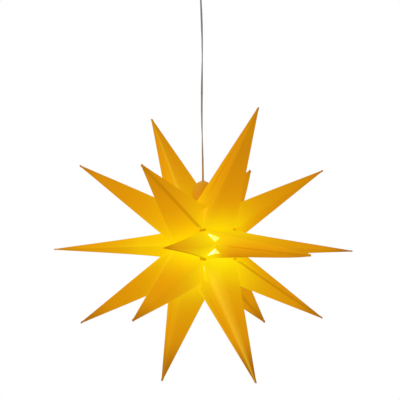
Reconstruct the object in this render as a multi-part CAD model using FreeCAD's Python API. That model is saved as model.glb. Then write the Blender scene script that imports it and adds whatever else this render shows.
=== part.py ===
import FreeCAD, Part
import math
import os

# A hanging star lamp: eighteen hollow arms of thin translucent plastic round a small LED lamp.
# All lengths are millimetres. The origin is on the ceiling, where the hook's collar rests,
# and Z points up. The star's own axis lies along Y, and six like segments stand round it.

Vector = FreeCAD.Vector
UP = Vector(0, 0, 1)
ALONG_STAR = Vector(0, 1, 0)

# Star: places of the arm tips and of the corners of the core that the arms stand on
STAR_CENTRE_DROP = 564.0
SEGMENT_COUNT = 6
RIM_ARM_REACH = 280.0
FACE_ARM_REACH = 269.0
FACE_ARM_POLAR_DEG = 36.9
POLE_AXIAL = 69.0
CORNER_AXIAL = 38.0
CORNER_RADIAL = 50.0
RIDGE_RADIAL = 83.0
SHELL_WALL = 0.7
TIP_FILL = 4.0
SEAM_GAP = 0.1
SEAM_LIP_DEPTH = 6.0
SEAM_LIP_THICKNESS = 0.8

# Light openings beside the creases between a rim arm and its face arms
OPENING_CREASE_MARGIN = 1.5
OPENING_NEAR_RIDGE_SHARE = 0.2
OPENING_NEAR_CORNER_SHARE = 0.74
OPENING_FAR_RIDGE_SHARE = 0.36
OPENING_FAR_TIP_SHARE = 0.116

# Fasteners that hold the segments together at the core's corners and poles
SEAT_DEPTH = 1.5
SEAT_FLOOR = 1.2
SEAT_REACH = 14.0
CORNER_HEAD_LENGTH = 11.5
CORNER_HEAD_WIDTH = 5.2
POLE_HEAD_RADIUS = 6.0
HEAD_THICKNESS = 1.7
HEAD_CLEARANCE = 0.3
HEAD_EDGE_ROUND = 0.6
RIVET_SHANK_RADIUS = 1.8
RIVET_HOLE_CLEARANCE = 0.15
CLINCH_RADIUS = 3.8
CLINCH_THICKNESS = 1.2
CLINCH_CLEARANCE = 0.4

# Cap that stands in the valley between the two upper arms
CAP_RADIUS = 19.0
CAP_RISE = 65.0
CAP_WALL = 2.0
CAP_SEAT_CLEARANCE = 0.1
CAP_SOCKET_WALL = 2.0
CAP_BOSS_RADIUS = 6.0
CAP_BOSS_DROP = 7.0
CAP_CHAMBER_RADIUS = 9.4
CAP_HOLE_RADIUS = 12.0

# Bush and stopper that carry the star on its cord
CORD_DIAMETER = 3.6
BUSH_WALL = 1.4
BUSH_FIT = 0.05
BUSH_LIP_OVERHANG = 1.0
BUSH_LIP_THICKNESS = 1.0
STOPPER_RADIUS = 3.6
STOPPER_LENGTH = 7.0
CRIMP_GROOVE_DEPTH = 0.5
CRIMP_GROOVE_SHARES = (0.33, 0.67)
BODY_CLEARANCE = 0.3

# Holder tube, saddle and nut that clamp the two upper segments
TUBE_RADIUS = 11.0
TUBE_WALL = 1.5
TUBE_FIT = 0.05
TUBE_TOP_DROP = 16.0
TUBE_LENGTH = 79.0
LEDGE_WIDTH = 1.5
LEDGE_THICKNESS = 1.5
LEDGE_DROP = 12.0
SADDLE_RADIUS = 19.0
SADDLE_BELOW_VALLEY = 12.0
SADDLE_CLEARANCE = 0.1
NUT_RADIUS = 17.0
NUT_THICKNESS = 7.0
NUT_GRIPS = 12
NUT_GRIP_RADIUS = 1.6

# LED lamp at the middle of the star
GLOBE_RADIUS = 22.0
GLOBE_WALL = 1.2
GLOBE_DROP = 24.0
GLOBE_NECK_STOP = 2.0
BASE_STEP_RADIUS = 13.0
BASE_STEP_HEIGHT = 8.0
BASE_SPIGOT_RADIUS = 9.3
BASE_SPIGOT_HEIGHT = 8.0
SEAL_THICKNESS = 1.5
SEAL_GROOVE_DEPTH = 1.0
BOARD_RADIUS = 10.0
BOARD_THICKNESS = 1.6
CHIP_SIDE = 3.0
CHIP_THICKNESS = 0.8
CHIP_RING_RADIUS = 6.2
CHIP_RING_COUNT = 6

# Terminal block and inner leads
TERMINAL_LENGTH = 17.0
TERMINAL_WIDTH = 8.0
TERMINAL_HEIGHT = 9.0
TERMINAL_SCREW_RADIUS = 1.4
TERMINAL_SCREW_LENGTH = 3.0
LEAD_SPACING = 8.0
LEAD_RADIUS = 0.8
LEAD_CLEARANCE = 0.1

# Ceiling hook: a steel wire, a collar and a shank that goes into the ceiling
HOOK_WIRE_RADIUS = 2.5
HOOK_BEND_RADIUS = 11.5
HOOK_NECK_TURN_DEG = 60.0
HOOK_TIP_DEG = 40.0
HOOK_SHANK_RADIUS = 2.0
HOOK_SHANK_LENGTH = 18.0
HOOK_COLLAR_RADIUS = 11.0
HOOK_COLLAR_THICKNESS = 2.0
HOOK_COLLAR_RIM = 0.8
HOOK_SHOULDER_RADIUS = 4.2
HOOK_SHOULDER_THICKNESS = 1.6
HOOK_COLLAR_FIT = 0.1

# Clip that closes the cord's loop, its screws, and the connector on the cord's short tail
CLIP_STRAND_SPACING = 5.2
CLIP_WIDTH = 20.0
CLIP_DEPTH = 8.0
CLIP_HEIGHT = 12.0
CLIP_TOP_DROP = 53.0
CLIP_GAP = 0.2
CLIP_EDGE_ROUND = 1.0
CLIP_GROOVE_CLEARANCE = 0.1
CLIP_SCREW_SPACING = 14.0
CLIP_SCREW_RADIUS = 1.25
CLIP_SCREW_HEAD_RADIUS = 2.2
CLIP_SCREW_HEAD_THICKNESS = 1.4
CLIP_SCREW_CLEARANCE = 0.1
CONNECTOR_RADIUS = 4.2
CONNECTOR_NECK_RADIUS = 2.7
CONNECTOR_NECK_LENGTH = 6.0
CONNECTOR_LENGTH = 20.0
BARREL_RADIUS = 2.75
BARREL_WALL = 0.45
BARREL_LENGTH = 8.0
BARREL_SEAT_DEPTH = 3.0
INSULATOR_BORE_RADIUS = 1.05

# The hanging cord, from the stopper inside the cap, up through the clip, over the hook,
# down through the clip again and into the connector
CORD_ROUTE = [
    (0.0, 0.0, -456.3),
    (0.0, 0.0, -418.0),
    (-0.32, -0.38, -378.0),
    (-1.29, -1.53, -328.0),
    (-0.58, -0.69, -273.0),
    (0.84, 1.0, -218.0),
    (0.58, 0.69, -168.0),
    (0.0, -0.4, -125.0),
    (0.0, -2.6, -88.0),
    (0.0, -2.6, -49.0),
    (0.0, -5.3, -35.0),
    (0.0, -2.65, -30.41),
    (0.0, 2.65, -30.41),
    (0.0, 5.3, -35.0),
    (0.0, 2.6, -49.0),
    (0.0, 2.6, -69.0),
    (0.0, 6.4, -77.0),
    (0.0, 6.4, -83.0),
]
CORD_ARC_SHARE = 0.45

# One overrun for every cutting tool, and how near an edge lies to the face it is picked by
OVERRUN = 2.0
PICK_TOLERANCE = 0.01

STEP_DEG = 360.0 / SEGMENT_COUNT
HALF_STEP_DEG = STEP_DEG / 2
SEGMENT_NAMES = [
    "segment_right",
    "segment_upper_right",
    "segment_upper_left",
    "segment_left",
    "segment_lower_left",
    "segment_lower_right",
]
VALLEY_HEIGHT = CORNER_RADIAL
CAP_TOP = VALLEY_HEIGHT + CAP_RISE
CAP_BOSS_BOTTOM = CAP_TOP - CAP_BOSS_DROP
TUBE_TOP = CAP_TOP - TUBE_TOP_DROP
TUBE_BOTTOM = TUBE_TOP - TUBE_LENGTH
TUBE_BORE_RADIUS = TUBE_RADIUS - TUBE_WALL
SADDLE_BOTTOM = VALLEY_HEIGHT - SADDLE_BELOW_VALLEY
BASE_BOTTOM = TUBE_BOTTOM - BASE_STEP_HEIGHT
BOARD_BOTTOM = BASE_BOTTOM - BOARD_THICKNESS
GLOBE_MIDDLE = TUBE_BOTTOM - GLOBE_DROP
TERMINAL_BOTTOM = TUBE_TOP - LEDGE_DROP
CORD_RADIUS = CORD_DIAMETER / 2


def star_point(axial, radial, degrees):
    """A point given along the star's axis, out from it, and round it from the right."""
    angle = math.radians(degrees)
    return Vector(radial * math.cos(angle), axial, radial * math.sin(angle))


def unit(vector):
    return vector * (1 / vector.Length)


def flat_face(points):
    return Part.Face(Part.makePolygon(points + [points[0]]))


def face_turned(points, direction):
    """A flat face whose normal points the same way as the direction."""
    normal = (points[1] - points[0]).cross(points[2] - points[0])
    ordered = points if normal.dot(direction) > 0 else points[::-1]
    return flat_face(ordered)


def closed_solid(faces):
    shell = Part.makeShell(faces)
    solid = Part.makeSolid(shell)
    if solid.Volume < 0:
        solid.reverse()
    return solid


def cylinder(radius, low, high, axis_x=0.0, axis_y=0.0):
    """An upright cylinder between two heights."""
    return Part.makeCylinder(radius, high - low, Vector(axis_x, axis_y, low), UP)


def ring(outer, inner, low, high):
    return cylinder(outer, low, high).cut(cylinder(inner, low - OVERRUN, high + OVERRUN))


def hang(shape):
    """Moves a piece modelled about the star's centre to its height under the ceiling."""
    placed = shape.copy()
    placed.translate(Vector(0, 0, -STAR_CENTRE_DROP))
    return placed


def save(name, shape):
    if not shape.isValid():
        raise ValueError(name + " isn't a valid solid")
    shape.exportStep("parts/" + name + ".step")
    print(f"{name}: {len(shape.Solids)} solid, {shape.Volume / 1000:.3f} cm3")


# Core corners of the segment that points to the right, and the tips of its three arms

def core_corners():
    corners = {}
    for side, sign in (("front", -1), ("back", 1)):
        corners["pole", side] = star_point(sign * POLE_AXIAL, 0, 0)
        corners["ridge", side] = star_point(sign * CORNER_AXIAL, RIDGE_RADIAL, 0)
        corners["upper", side] = star_point(sign * CORNER_AXIAL, CORNER_RADIAL, HALF_STEP_DEG)
        corners["lower", side] = star_point(sign * CORNER_AXIAL, CORNER_RADIAL, -HALF_STEP_DEG)
    return corners


def arm_tips():
    polar = math.radians(FACE_ARM_POLAR_DEG)
    axial = FACE_ARM_REACH * math.cos(polar)
    radial = FACE_ARM_REACH * math.sin(polar)
    return {
        "front": star_point(-axial, radial, 0),
        "rim": star_point(0, RIM_ARM_REACH, 0),
        "back": star_point(axial, radial, 0),
    }


ARM_BASES = {
    "front": [("pole", "front"), ("upper", "front"), ("ridge", "front"), ("lower", "front")],
    "rim": [
        ("upper", "front"),
        ("upper", "back"),
        ("ridge", "back"),
        ("lower", "back"),
        ("lower", "front"),
        ("ridge", "front"),
    ],
    "back": [("pole", "back"), ("upper", "back"), ("ridge", "back"), ("lower", "back")],
}
SEAM_LINES = {
    "upper": [("pole", "front"), ("upper", "front"), ("upper", "back"), ("pole", "back")],
    "lower": [("pole", "front"), ("lower", "front"), ("lower", "back"), ("pole", "back")],
}


def middle(points):
    total = Vector(0, 0, 0)
    for point in points:
        total = total + point
    return total * (1 / len(points))


def neighbours(points):
    return list(zip(points, points[1:] + points[:1]))


def arm_normals(base, tip):
    """The outward normals of an arm's sides, one for each edge of its base."""
    inside = middle(base + [tip])
    normals = []
    for first, second in neighbours(base):
        normal = unit((second - first).cross(tip - first))
        outward = middle([first, second, tip]) - inside
        normals.append(normal if normal.dot(outward) > 0 else normal * -1)
    return normals


def inner_corners(corners, tips):
    """Each core corner moved towards the centre until every wall beside it has its thickness."""
    least = {}
    for arm, keys in ARM_BASES.items():
        base = [corners[key] for key in keys]
        pairs = neighbours(keys)
        for (first, second), normal in zip(pairs, arm_normals(base, tips[arm])):
            for key in (first, second):
                slope = normal.dot(unit(corners[key]))
                least[key] = min(least.get(key, 1.0), slope)
    return {key: corners[key] - unit(corners[key]) * (SHELL_WALL / least[key]) for key in corners}


def inner_arm_rim(base, inner_base, tip):
    """The points where an arm's hollow stops, short of its tip."""
    along = unit(tip - middle(base))
    slopes = [normal.dot(along) for normal in arm_normals(base, tip)]
    inner_tip = tip - along * (SHELL_WALL / min(slopes))
    stop = (tip - inner_tip).dot(along) + TIP_FILL
    rim = []
    for point in inner_base:
        whole = (inner_tip - point).dot(along)
        wanted = (tip - point).dot(along) - stop
        rim.append(point + (inner_tip - point) * (wanted / whole))
    return rim


def segment_body():
    """One segment as a thin shell: a face arm in front, a rim arm and a face arm behind."""
    corners = core_corners()
    tips = arm_tips()
    inner = inner_corners(corners, tips)
    faces = []
    for arm, keys in ARM_BASES.items():
        base = [corners[key] for key in keys]
        inner_base = [inner[key] for key in keys]
        normals = arm_normals(base, tips[arm])
        rim = inner_arm_rim(base, inner_base, tips[arm])
        for (first, second), normal in zip(neighbours(base), normals):
            faces.append(face_turned([first, second, tips[arm]], normal))
        sides = zip(neighbours(inner_base), neighbours(rim), normals)
        for (first, second), (far_first, far_second), normal in sides:
            faces.append(face_turned([first, second, far_second, far_first], normal * -1))
        faces.append(face_turned(rim, middle(base) - tips[arm]))
    for side, keys in SEAM_LINES.items():
        away = seam_normal(side)
        for first, second in zip(keys, keys[1:]):
            strip = [corners[first], corners[second], inner[second], inner[first]]
            faces.append(face_turned(strip, away))
    return closed_solid(faces)


def segment_outer():
    """The same segment without its hollow, to trim what is added to the shell."""
    corners = core_corners()
    tips = arm_tips()
    faces = []
    for arm, keys in ARM_BASES.items():
        base = [corners[key] for key in keys]
        for (first, second), normal in zip(neighbours(base), arm_normals(base, tips[arm])):
            faces.append(face_turned([first, second, tips[arm]], normal))
    for side, keys in SEAM_LINES.items():
        faces.append(face_turned([corners[key] for key in keys], seam_normal(side)))
    return closed_solid(faces)


def seam_normal(side):
    """Points out of the segment, square to one of its two seams."""
    sign = 1 if side == "upper" else -1
    return star_point(0, 1, sign * (HALF_STEP_DEG + 90))


def seam_lip(side):
    """The narrow lip that turns inwards along a seam and meets the next segment's lip."""
    corners = core_corners()
    line = [corners[key] for key in SEAM_LINES[side]]
    inside = [point - unit(point) * SEAM_LIP_DEPTH for point in line]
    outline = flat_face(line + inside[::-1])
    return outline.extrude(seam_normal(side) * -SEAM_LIP_THICKNESS)


def slot_outline(centre, length_way, width_way, length, width):
    """A face with straight long sides and half-round ends."""
    half = (length - width) / 2
    radius = width / 2
    right = centre + length_way * half
    left = centre - length_way * half
    lift = width_way * radius
    edges = [
        Part.LineSegment(left + lift, right + lift),
        Part.Arc(right + lift, right + length_way * radius, right - lift),
        Part.LineSegment(right - lift, left - lift),
        Part.Arc(left - lift, left - length_way * radius, left + lift),
    ]
    return Part.Face(Part.Wire([edge.toShape() for edge in edges]))


def corner_block(corner, grow, low, high):
    """A prism with a corner fastener's outline, from low to high along the outward line."""
    outward = unit(corner)
    length_way = unit(ALONG_STAR - outward * ALONG_STAR.dot(outward))
    width_way = outward.cross(length_way)
    length = CORNER_HEAD_LENGTH + 2 * grow
    width = CORNER_HEAD_WIDTH + 2 * grow
    outline = slot_outline(corner + outward * low, length_way, width_way, length, width)
    return outline.extrude(outward * (high - low))


def pole_block(corner, grow, low, high):
    outward = unit(corner)
    radius = POLE_HEAD_RADIUS + grow
    return Part.makeCylinder(radius, high - low, corner + outward * low, outward)


def round_block(corner, radius, low, high):
    outward = unit(corner)
    return Part.makeCylinder(radius, high - low, corner + outward * low, outward)


def seated(shell, outer, corner, block):
    """Sinks a fastener's seat into the shell, with a floor and a wall of its own."""
    floor = -SEAT_DEPTH
    under = floor - SEAT_FLOOR
    cup = block(corner, HEAD_CLEARANCE + SHELL_WALL, under, SEAT_REACH).common(outer)
    room = block(corner, HEAD_CLEARANCE, floor, SEAT_REACH)
    hole_radius = RIVET_SHANK_RADIUS + RIVET_HOLE_CLEARANCE
    hole = round_block(corner, hole_radius, under - OVERRUN, SEAT_REACH)
    lip_room_radius = CLINCH_RADIUS + CLINCH_CLEARANCE
    lip_room = round_block(corner, lip_room_radius, under - 2 * SEAM_LIP_DEPTH, under)
    return shell.fuse(cup).cut(room).cut(hole).cut(lip_room)


def light_opening(corners, tips, height, side):
    """The three-cornered opening in a rim arm's side, next to its crease with a face arm."""
    ridge = corners["ridge", side]
    corner = corners[height, side]
    tip = tips["rim"]
    normal = unit((corner - ridge).cross(tip - ridge))
    crease = unit(corner - ridge)
    inward = unit((tip - ridge) - crease * crease.dot(tip - ridge)) * OPENING_CREASE_MARGIN
    near_ridge = ridge + (corner - ridge) * OPENING_NEAR_RIDGE_SHARE + inward
    near_corner = ridge + (corner - ridge) * OPENING_NEAR_CORNER_SHARE + inward
    far = (
        corner
        + (ridge - corner) * OPENING_FAR_RIDGE_SHARE
        + (tip - corner) * OPENING_FAR_TIP_SHARE
    )
    reach = normal * (2 * SHELL_WALL)
    outline = flat_face([point - reach for point in (near_ridge, near_corner, far)])
    return outline.extrude(reach * 2)


def finished_segment():
    shell = segment_body()
    outer = segment_outer()
    corners = core_corners()
    tips = arm_tips()
    for side in SEAM_LINES:
        shell = shell.fuse(seam_lip(side))
    for key, corner in corners.items():
        if key[0] == "ridge":
            continue
        block = pole_block if key[0] == "pole" else corner_block
        shell = seated(shell, outer, corner, block)
    for height in SEAM_LINES:
        for side in ("front", "back"):
            shell = shell.cut(light_opening(corners, tips, height, side))
    shell = shell.removeSplitter()
    shell.translate(seam_shift())
    return shell


def seam_shift():
    """How far each segment stands out, so that half the seam's gap is left on each side."""
    return star_point(0, SEAM_GAP / 2 / math.sin(math.radians(HALF_STEP_DEG)), 0)


def turned(shape, degrees):
    """Turns a piece round the star's axis, so that the right-hand side goes up."""
    copy = shape.copy()
    copy.rotate(Vector(0, 0, 0), ALONG_STAR, -degrees)
    return copy


# Planes of the valley between the two upper arms, for everything that is clamped there

def valley_lean():
    """How far the valley's sides lean out for each millimetre that they rise."""
    tip = star_point(0, RIM_ARM_REACH, 90 - HALF_STEP_DEG)
    return tip.x / (tip.z - VALLEY_HEIGHT)


def valley_wall():
    """Thickness of the sheet at the valley's corners."""
    corners = core_corners()
    tips = arm_tips()
    corner = corners["upper", "front"]
    across = unit((corners["upper", "back"] - corner).cross(tips["rim"] - corner))
    inner = inner_corners(corners, tips)["upper", "front"]
    return abs((corner - inner).dot(across))


def valley_wedge(offset):
    """The space above the valley's two sides, moved square to them, in for a plus offset."""
    lean = valley_lean()
    drop = offset * math.hypot(lean, 1) / lean
    bottom = VALLEY_HEIGHT + drop
    height = CAP_TOP + OVERRUN - bottom
    half = height * lean
    depth = CORNER_AXIAL
    outline = [
        Vector(0, -depth, bottom),
        Vector(half, -depth, bottom + height),
        Vector(-half, -depth, bottom + height),
    ]
    return flat_face(outline).extrude(ALONG_STAR * (2 * depth))


def cap():
    """Opaque domed cap with a socket for the holder tube and a boss for the cord's bush."""
    centre_height = CAP_TOP - CAP_RADIUS
    low = VALLEY_HEIGHT - OVERRUN
    outer = cylinder(CAP_RADIUS, low, centre_height)
    outer = outer.fuse(Part.makeSphere(CAP_RADIUS, Vector(0, 0, centre_height)))
    inner_radius = CAP_RADIUS - CAP_WALL
    room = cylinder(inner_radius, low - OVERRUN, centre_height)
    room = room.fuse(Part.makeSphere(inner_radius, Vector(0, 0, centre_height)))
    socket_inner = TUBE_RADIUS + TUBE_FIT
    socket_outer = socket_inner + CAP_SOCKET_WALL
    socket = cylinder(socket_outer, low, CAP_TOP).cut(cylinder(socket_inner, low, TUBE_TOP))
    socket = socket.cut(cylinder(CAP_CHAMBER_RADIUS, TUBE_TOP - OVERRUN, CAP_BOSS_BOTTOM))
    solid = outer.cut(room).fuse(socket.common(outer))
    solid = solid.fuse(cylinder(CAP_BOSS_RADIUS, CAP_BOSS_BOTTOM, CAP_TOP).common(outer))
    bush_radius = CORD_RADIUS + BUSH_FIT + BUSH_WALL
    solid = solid.cut(cylinder(bush_radius + BUSH_FIT, CAP_BOSS_BOTTOM - OVERRUN, CAP_TOP + OVERRUN))
    lip_radius = bush_radius + BUSH_LIP_OVERHANG
    solid = solid.cut(cylinder(lip_radius + BUSH_FIT, bush_seat(), CAP_TOP + OVERRUN))
    return solid.common(valley_wedge(CAP_SEAT_CLEARANCE)).removeSplitter()


def bush_seat():
    """Height of the small flat on the dome that the bush's lip lies on."""
    lip_radius = CORD_RADIUS + BUSH_FIT + BUSH_WALL + BUSH_LIP_OVERHANG
    sag = CAP_RADIUS - math.sqrt(CAP_RADIUS**2 - lip_radius**2)
    return CAP_TOP - sag


def cord_bush():
    bore = CORD_RADIUS + BUSH_FIT
    outside = bore + BUSH_WALL
    seat = bush_seat()
    body = cylinder(outside, CAP_BOSS_BOTTOM, seat)
    lip = cylinder(outside + BUSH_LIP_OVERHANG, seat, seat + BUSH_LIP_THICKNESS)
    top_edge = [
        edge
        for edge in lip.Edges
        if abs(edge.BoundBox.ZMin - seat - BUSH_LIP_THICKNESS) < PICK_TOLERANCE
        and edge.BoundBox.ZLength < PICK_TOLERANCE
    ]
    lip = lip.makeFillet(BUSH_LIP_THICKNESS / 2, top_edge)
    whole = body.fuse(lip).removeSplitter()
    return whole.cut(cylinder(bore, CAP_BOSS_BOTTOM - OVERRUN, CAP_TOP + OVERRUN))


def cord_stopper():
    """The crimped sleeve under the boss, on which the star's weight hangs."""
    top = CAP_BOSS_BOTTOM - BODY_CLEARANCE
    sleeve = cylinder(STOPPER_RADIUS, top - STOPPER_LENGTH, top)
    for share in CRIMP_GROOVE_SHARES:
        middle_of_groove = Vector(0, 0, top - STOPPER_LENGTH * share)
        groove = Part.makeTorus(STOPPER_RADIUS, CRIMP_GROOVE_DEPTH, middle_of_groove, UP)
        sleeve = sleeve.cut(groove)
    return sleeve


def upper_segment_room():
    """What is cut from the upper segments for the tube, and from their lips for the saddle."""
    low = VALLEY_HEIGHT - SEAM_LIP_DEPTH - OVERRUN
    hole = cylinder(CAP_HOLE_RADIUS, low, CAP_TOP)
    lip_radius = SADDLE_RADIUS + SADDLE_CLEARANCE
    tall = cylinder(lip_radius, low, VALLEY_HEIGHT + CAP_RISE)
    under = tall.cut(valley_wedge(-valley_wall()))
    lip_zone_half = SEAM_LIP_THICKNESS + SEAM_GAP
    zone = Part.makeBox(
        2 * lip_zone_half,
        2 * lip_radius,
        SEAM_LIP_DEPTH + OVERRUN,
        Vector(-lip_zone_half, -lip_radius, low),
    )
    return hole.fuse(under.common(zone))


def saddle():
    """The block under the valley that takes the nut's pull against the two shells."""
    block = cylinder(SADDLE_RADIUS, SADDLE_BOTTOM, VALLEY_HEIGHT + CAP_RISE)
    block = block.cut(valley_wedge(-valley_wall() - SADDLE_CLEARANCE))
    height = VALLEY_HEIGHT + SADDLE_RADIUS / valley_lean()
    block = block.common(cylinder(SADDLE_RADIUS + OVERRUN, SADDLE_BOTTOM, height))
    return block.cut(cylinder(TUBE_RADIUS + TUBE_FIT, SADDLE_BOTTOM - OVERRUN, CAP_TOP))


def retaining_nut():
    """Ring nut with finger grips round its edge, tightened from inside before the star closes."""
    top = SADDLE_BOTTOM
    low = top - NUT_THICKNESS
    nut = ring(NUT_RADIUS, TUBE_RADIUS + TUBE_FIT, low, top)
    for index in range(NUT_GRIPS):
        angle = 2 * math.pi * index / NUT_GRIPS
        across = NUT_RADIUS * math.cos(angle)
        ahead = NUT_RADIUS * math.sin(angle)
        nut = nut.cut(cylinder(NUT_GRIP_RADIUS, low - OVERRUN, top + OVERRUN, across, ahead))
    return nut


def holder_tube():
    tube = ring(TUBE_RADIUS, TUBE_BORE_RADIUS, TUBE_BOTTOM, TUBE_TOP)
    ledge_top = TERMINAL_BOTTOM
    ledge = ring(
        TUBE_BORE_RADIUS + TUBE_WALL / 2,
        TUBE_BORE_RADIUS - LEDGE_WIDTH,
        ledge_top - LEDGE_THICKNESS,
        ledge_top,
    )
    return tube.fuse(ledge).removeSplitter()


def lead_places():
    """How far each lead, and the screw that clamps it, lies to the right of the middle."""
    return [-LEAD_SPACING / 2, LEAD_SPACING / 2]


def lamp_base():
    """Moulded base: a spigot in the tube, a groove for the seal, and a step for the globe."""
    step = cylinder(BASE_STEP_RADIUS, BASE_BOTTOM, TUBE_BOTTOM)
    spigot = cylinder(BASE_SPIGOT_RADIUS, TUBE_BOTTOM, TUBE_BOTTOM + BASE_SPIGOT_HEIGHT)
    base = step.fuse(spigot)
    middle_height = TUBE_BOTTOM + BASE_SPIGOT_HEIGHT / 2
    groove = ring(
        BASE_SPIGOT_RADIUS + OVERRUN,
        BASE_SPIGOT_RADIUS - SEAL_GROOVE_DEPTH,
        middle_height - SEAL_THICKNESS / 2,
        middle_height + SEAL_THICKNESS / 2,
    )
    base = base.cut(groove)
    spigot_top = TUBE_BOTTOM + BASE_SPIGOT_HEIGHT
    hole_radius = LEAD_RADIUS + LEAD_CLEARANCE
    for across in lead_places():
        hole = cylinder(hole_radius, BASE_BOTTOM - OVERRUN, spigot_top + OVERRUN, across)
        base = base.cut(hole)
    return base


def seal_ring():
    middle_height = TUBE_BOTTOM + BASE_SPIGOT_HEIGHT / 2
    return ring(
        TUBE_BORE_RADIUS,
        BASE_SPIGOT_RADIUS - SEAL_GROOVE_DEPTH,
        middle_height - SEAL_THICKNESS / 2,
        middle_height + SEAL_THICKNESS / 2,
    )


def led_board():
    return cylinder(BOARD_RADIUS, BOARD_BOTTOM, BASE_BOTTOM)


def led_chips():
    places = [(0.0, 0.0)]
    for index in range(CHIP_RING_COUNT):
        angle = 2 * math.pi * index / CHIP_RING_COUNT
        places.append((CHIP_RING_RADIUS * math.cos(angle), CHIP_RING_RADIUS * math.sin(angle)))
    chips = []
    for across, ahead in places:
        corner = Vector(
            across - CHIP_SIDE / 2, ahead - CHIP_SIDE / 2, BOARD_BOTTOM - CHIP_THICKNESS
        )
        chips.append(Part.makeBox(CHIP_SIDE, CHIP_SIDE, CHIP_THICKNESS, corner))
    return Part.makeCompound(chips)


def lamp_globe():
    """Frosted globe round the star's centre, held by its neck on the base's step."""
    neck_inner = BASE_STEP_RADIUS + TUBE_FIT
    neck_outer = neck_inner + GLOBE_WALL
    neck_top = TUBE_BOTTOM - GLOBE_NECK_STOP
    centre = Vector(0, 0, GLOBE_MIDDLE)
    globe = Part.makeSphere(GLOBE_RADIUS, centre)
    globe = globe.fuse(cylinder(neck_outer, GLOBE_MIDDLE, neck_top))
    room = Part.makeSphere(GLOBE_RADIUS - GLOBE_WALL, centre)
    room = room.fuse(cylinder(neck_inner, BASE_BOTTOM, neck_top + OVERRUN))
    room = room.fuse(cylinder(neck_inner - GLOBE_WALL, GLOBE_MIDDLE, BASE_BOTTOM))
    return globe.cut(room).removeSplitter()


def inner_leads():
    """Two insulated leads from the terminal block down to the LED board."""
    leads = [
        cylinder(LEAD_RADIUS, BASE_BOTTOM, TERMINAL_BOTTOM, across) for across in lead_places()
    ]
    return Part.makeCompound(leads)


def terminal_block():
    corner = Vector(-TERMINAL_LENGTH / 2, -TERMINAL_WIDTH / 2, TERMINAL_BOTTOM)
    block = Part.makeBox(TERMINAL_LENGTH, TERMINAL_WIDTH, TERMINAL_HEIGHT, corner)
    for across in lead_places():
        block = block.cut(terminal_screw(across, LEAD_CLEARANCE, OVERRUN))
    return block


def terminal_screw(across, clearance, head_out):
    """A clamping screw that goes into the block's side."""
    outside = TERMINAL_WIDTH / 2 + head_out
    height = TERMINAL_BOTTOM + TERMINAL_HEIGHT / 2
    start = Vector(across, -outside, height)
    depth = TERMINAL_SCREW_LENGTH + head_out
    return Part.makeCylinder(TERMINAL_SCREW_RADIUS + clearance, depth, start, ALONG_STAR)


def terminal_screws():
    screws = []
    for across in lead_places():
        screw = terminal_screw(across, 0, 0)
        slot = Part.makeBox(
            2 * TERMINAL_SCREW_RADIUS,
            TERMINAL_SCREW_RADIUS,
            TERMINAL_SCREW_RADIUS / 2,
            Vector(
                across - TERMINAL_SCREW_RADIUS,
                -TERMINAL_WIDTH / 2 - TERMINAL_SCREW_RADIUS / 2,
                TERMINAL_BOTTOM + TERMINAL_HEIGHT / 2 - TERMINAL_SCREW_RADIUS / 4,
            ),
        )
        screws.append(screw.cut(slot))
    return Part.makeCompound(screws)


def rivet(corner, block):
    """One snap fastener: a flat head in its seat, a shank, and a spread end inside."""
    floor = -SEAT_DEPTH
    under = floor - SEAT_FLOOR
    head = block(corner, 0, floor, floor + HEAD_THICKNESS)
    shank = round_block(corner, RIVET_SHANK_RADIUS, under, floor)
    clinch = round_block(corner, CLINCH_RADIUS, under - CLINCH_THICKNESS, under)
    outward = unit(corner)
    top = corner + outward * (floor + HEAD_THICKNESS)
    top_edges = [
        edge
        for edge in head.Edges
        if all(abs((vertex.Point - top).dot(outward)) < PICK_TOLERANCE for vertex in edge.Vertexes)
    ]
    head = head.makeFillet(HEAD_EDGE_ROUND, top_edges)
    whole = head.fuse(shank).fuse(clinch).removeSplitter()
    whole.translate(outward * outward.dot(seam_shift()))
    return whole


def corner_rivets(side):
    one = rivet(core_corners()["upper", side], corner_block)
    return Part.makeCompound([turned(one, STEP_DEG * index) for index in range(SEGMENT_COUNT)])


def pole_button(side):
    return rivet(core_corners()["pole", side], pole_block)


# Ceiling hook

def hook_neck_radius():
    """Bend radius that brings the neck back over the middle of the hook."""
    turn = math.cos(math.radians(HOOK_NECK_TURN_DEG))
    return HOOK_BEND_RADIUS * turn / (1 - turn)


def hook_shoulder_bottom():
    return -HOOK_COLLAR_THICKNESS - HOOK_SHOULDER_THICKNESS


def hook_bend_height():
    """Height of the middle of the hook's bend."""
    neck = math.sin(math.radians(HOOK_NECK_TURN_DEG)) * (hook_neck_radius() + HOOK_BEND_RADIUS)
    return hook_shoulder_bottom() - neck


def round_point(centre_x, centre_z, radius, degrees):
    angle = math.radians(degrees)
    return Vector(centre_x + radius * math.cos(angle), 0, centre_z + radius * math.sin(angle))


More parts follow.
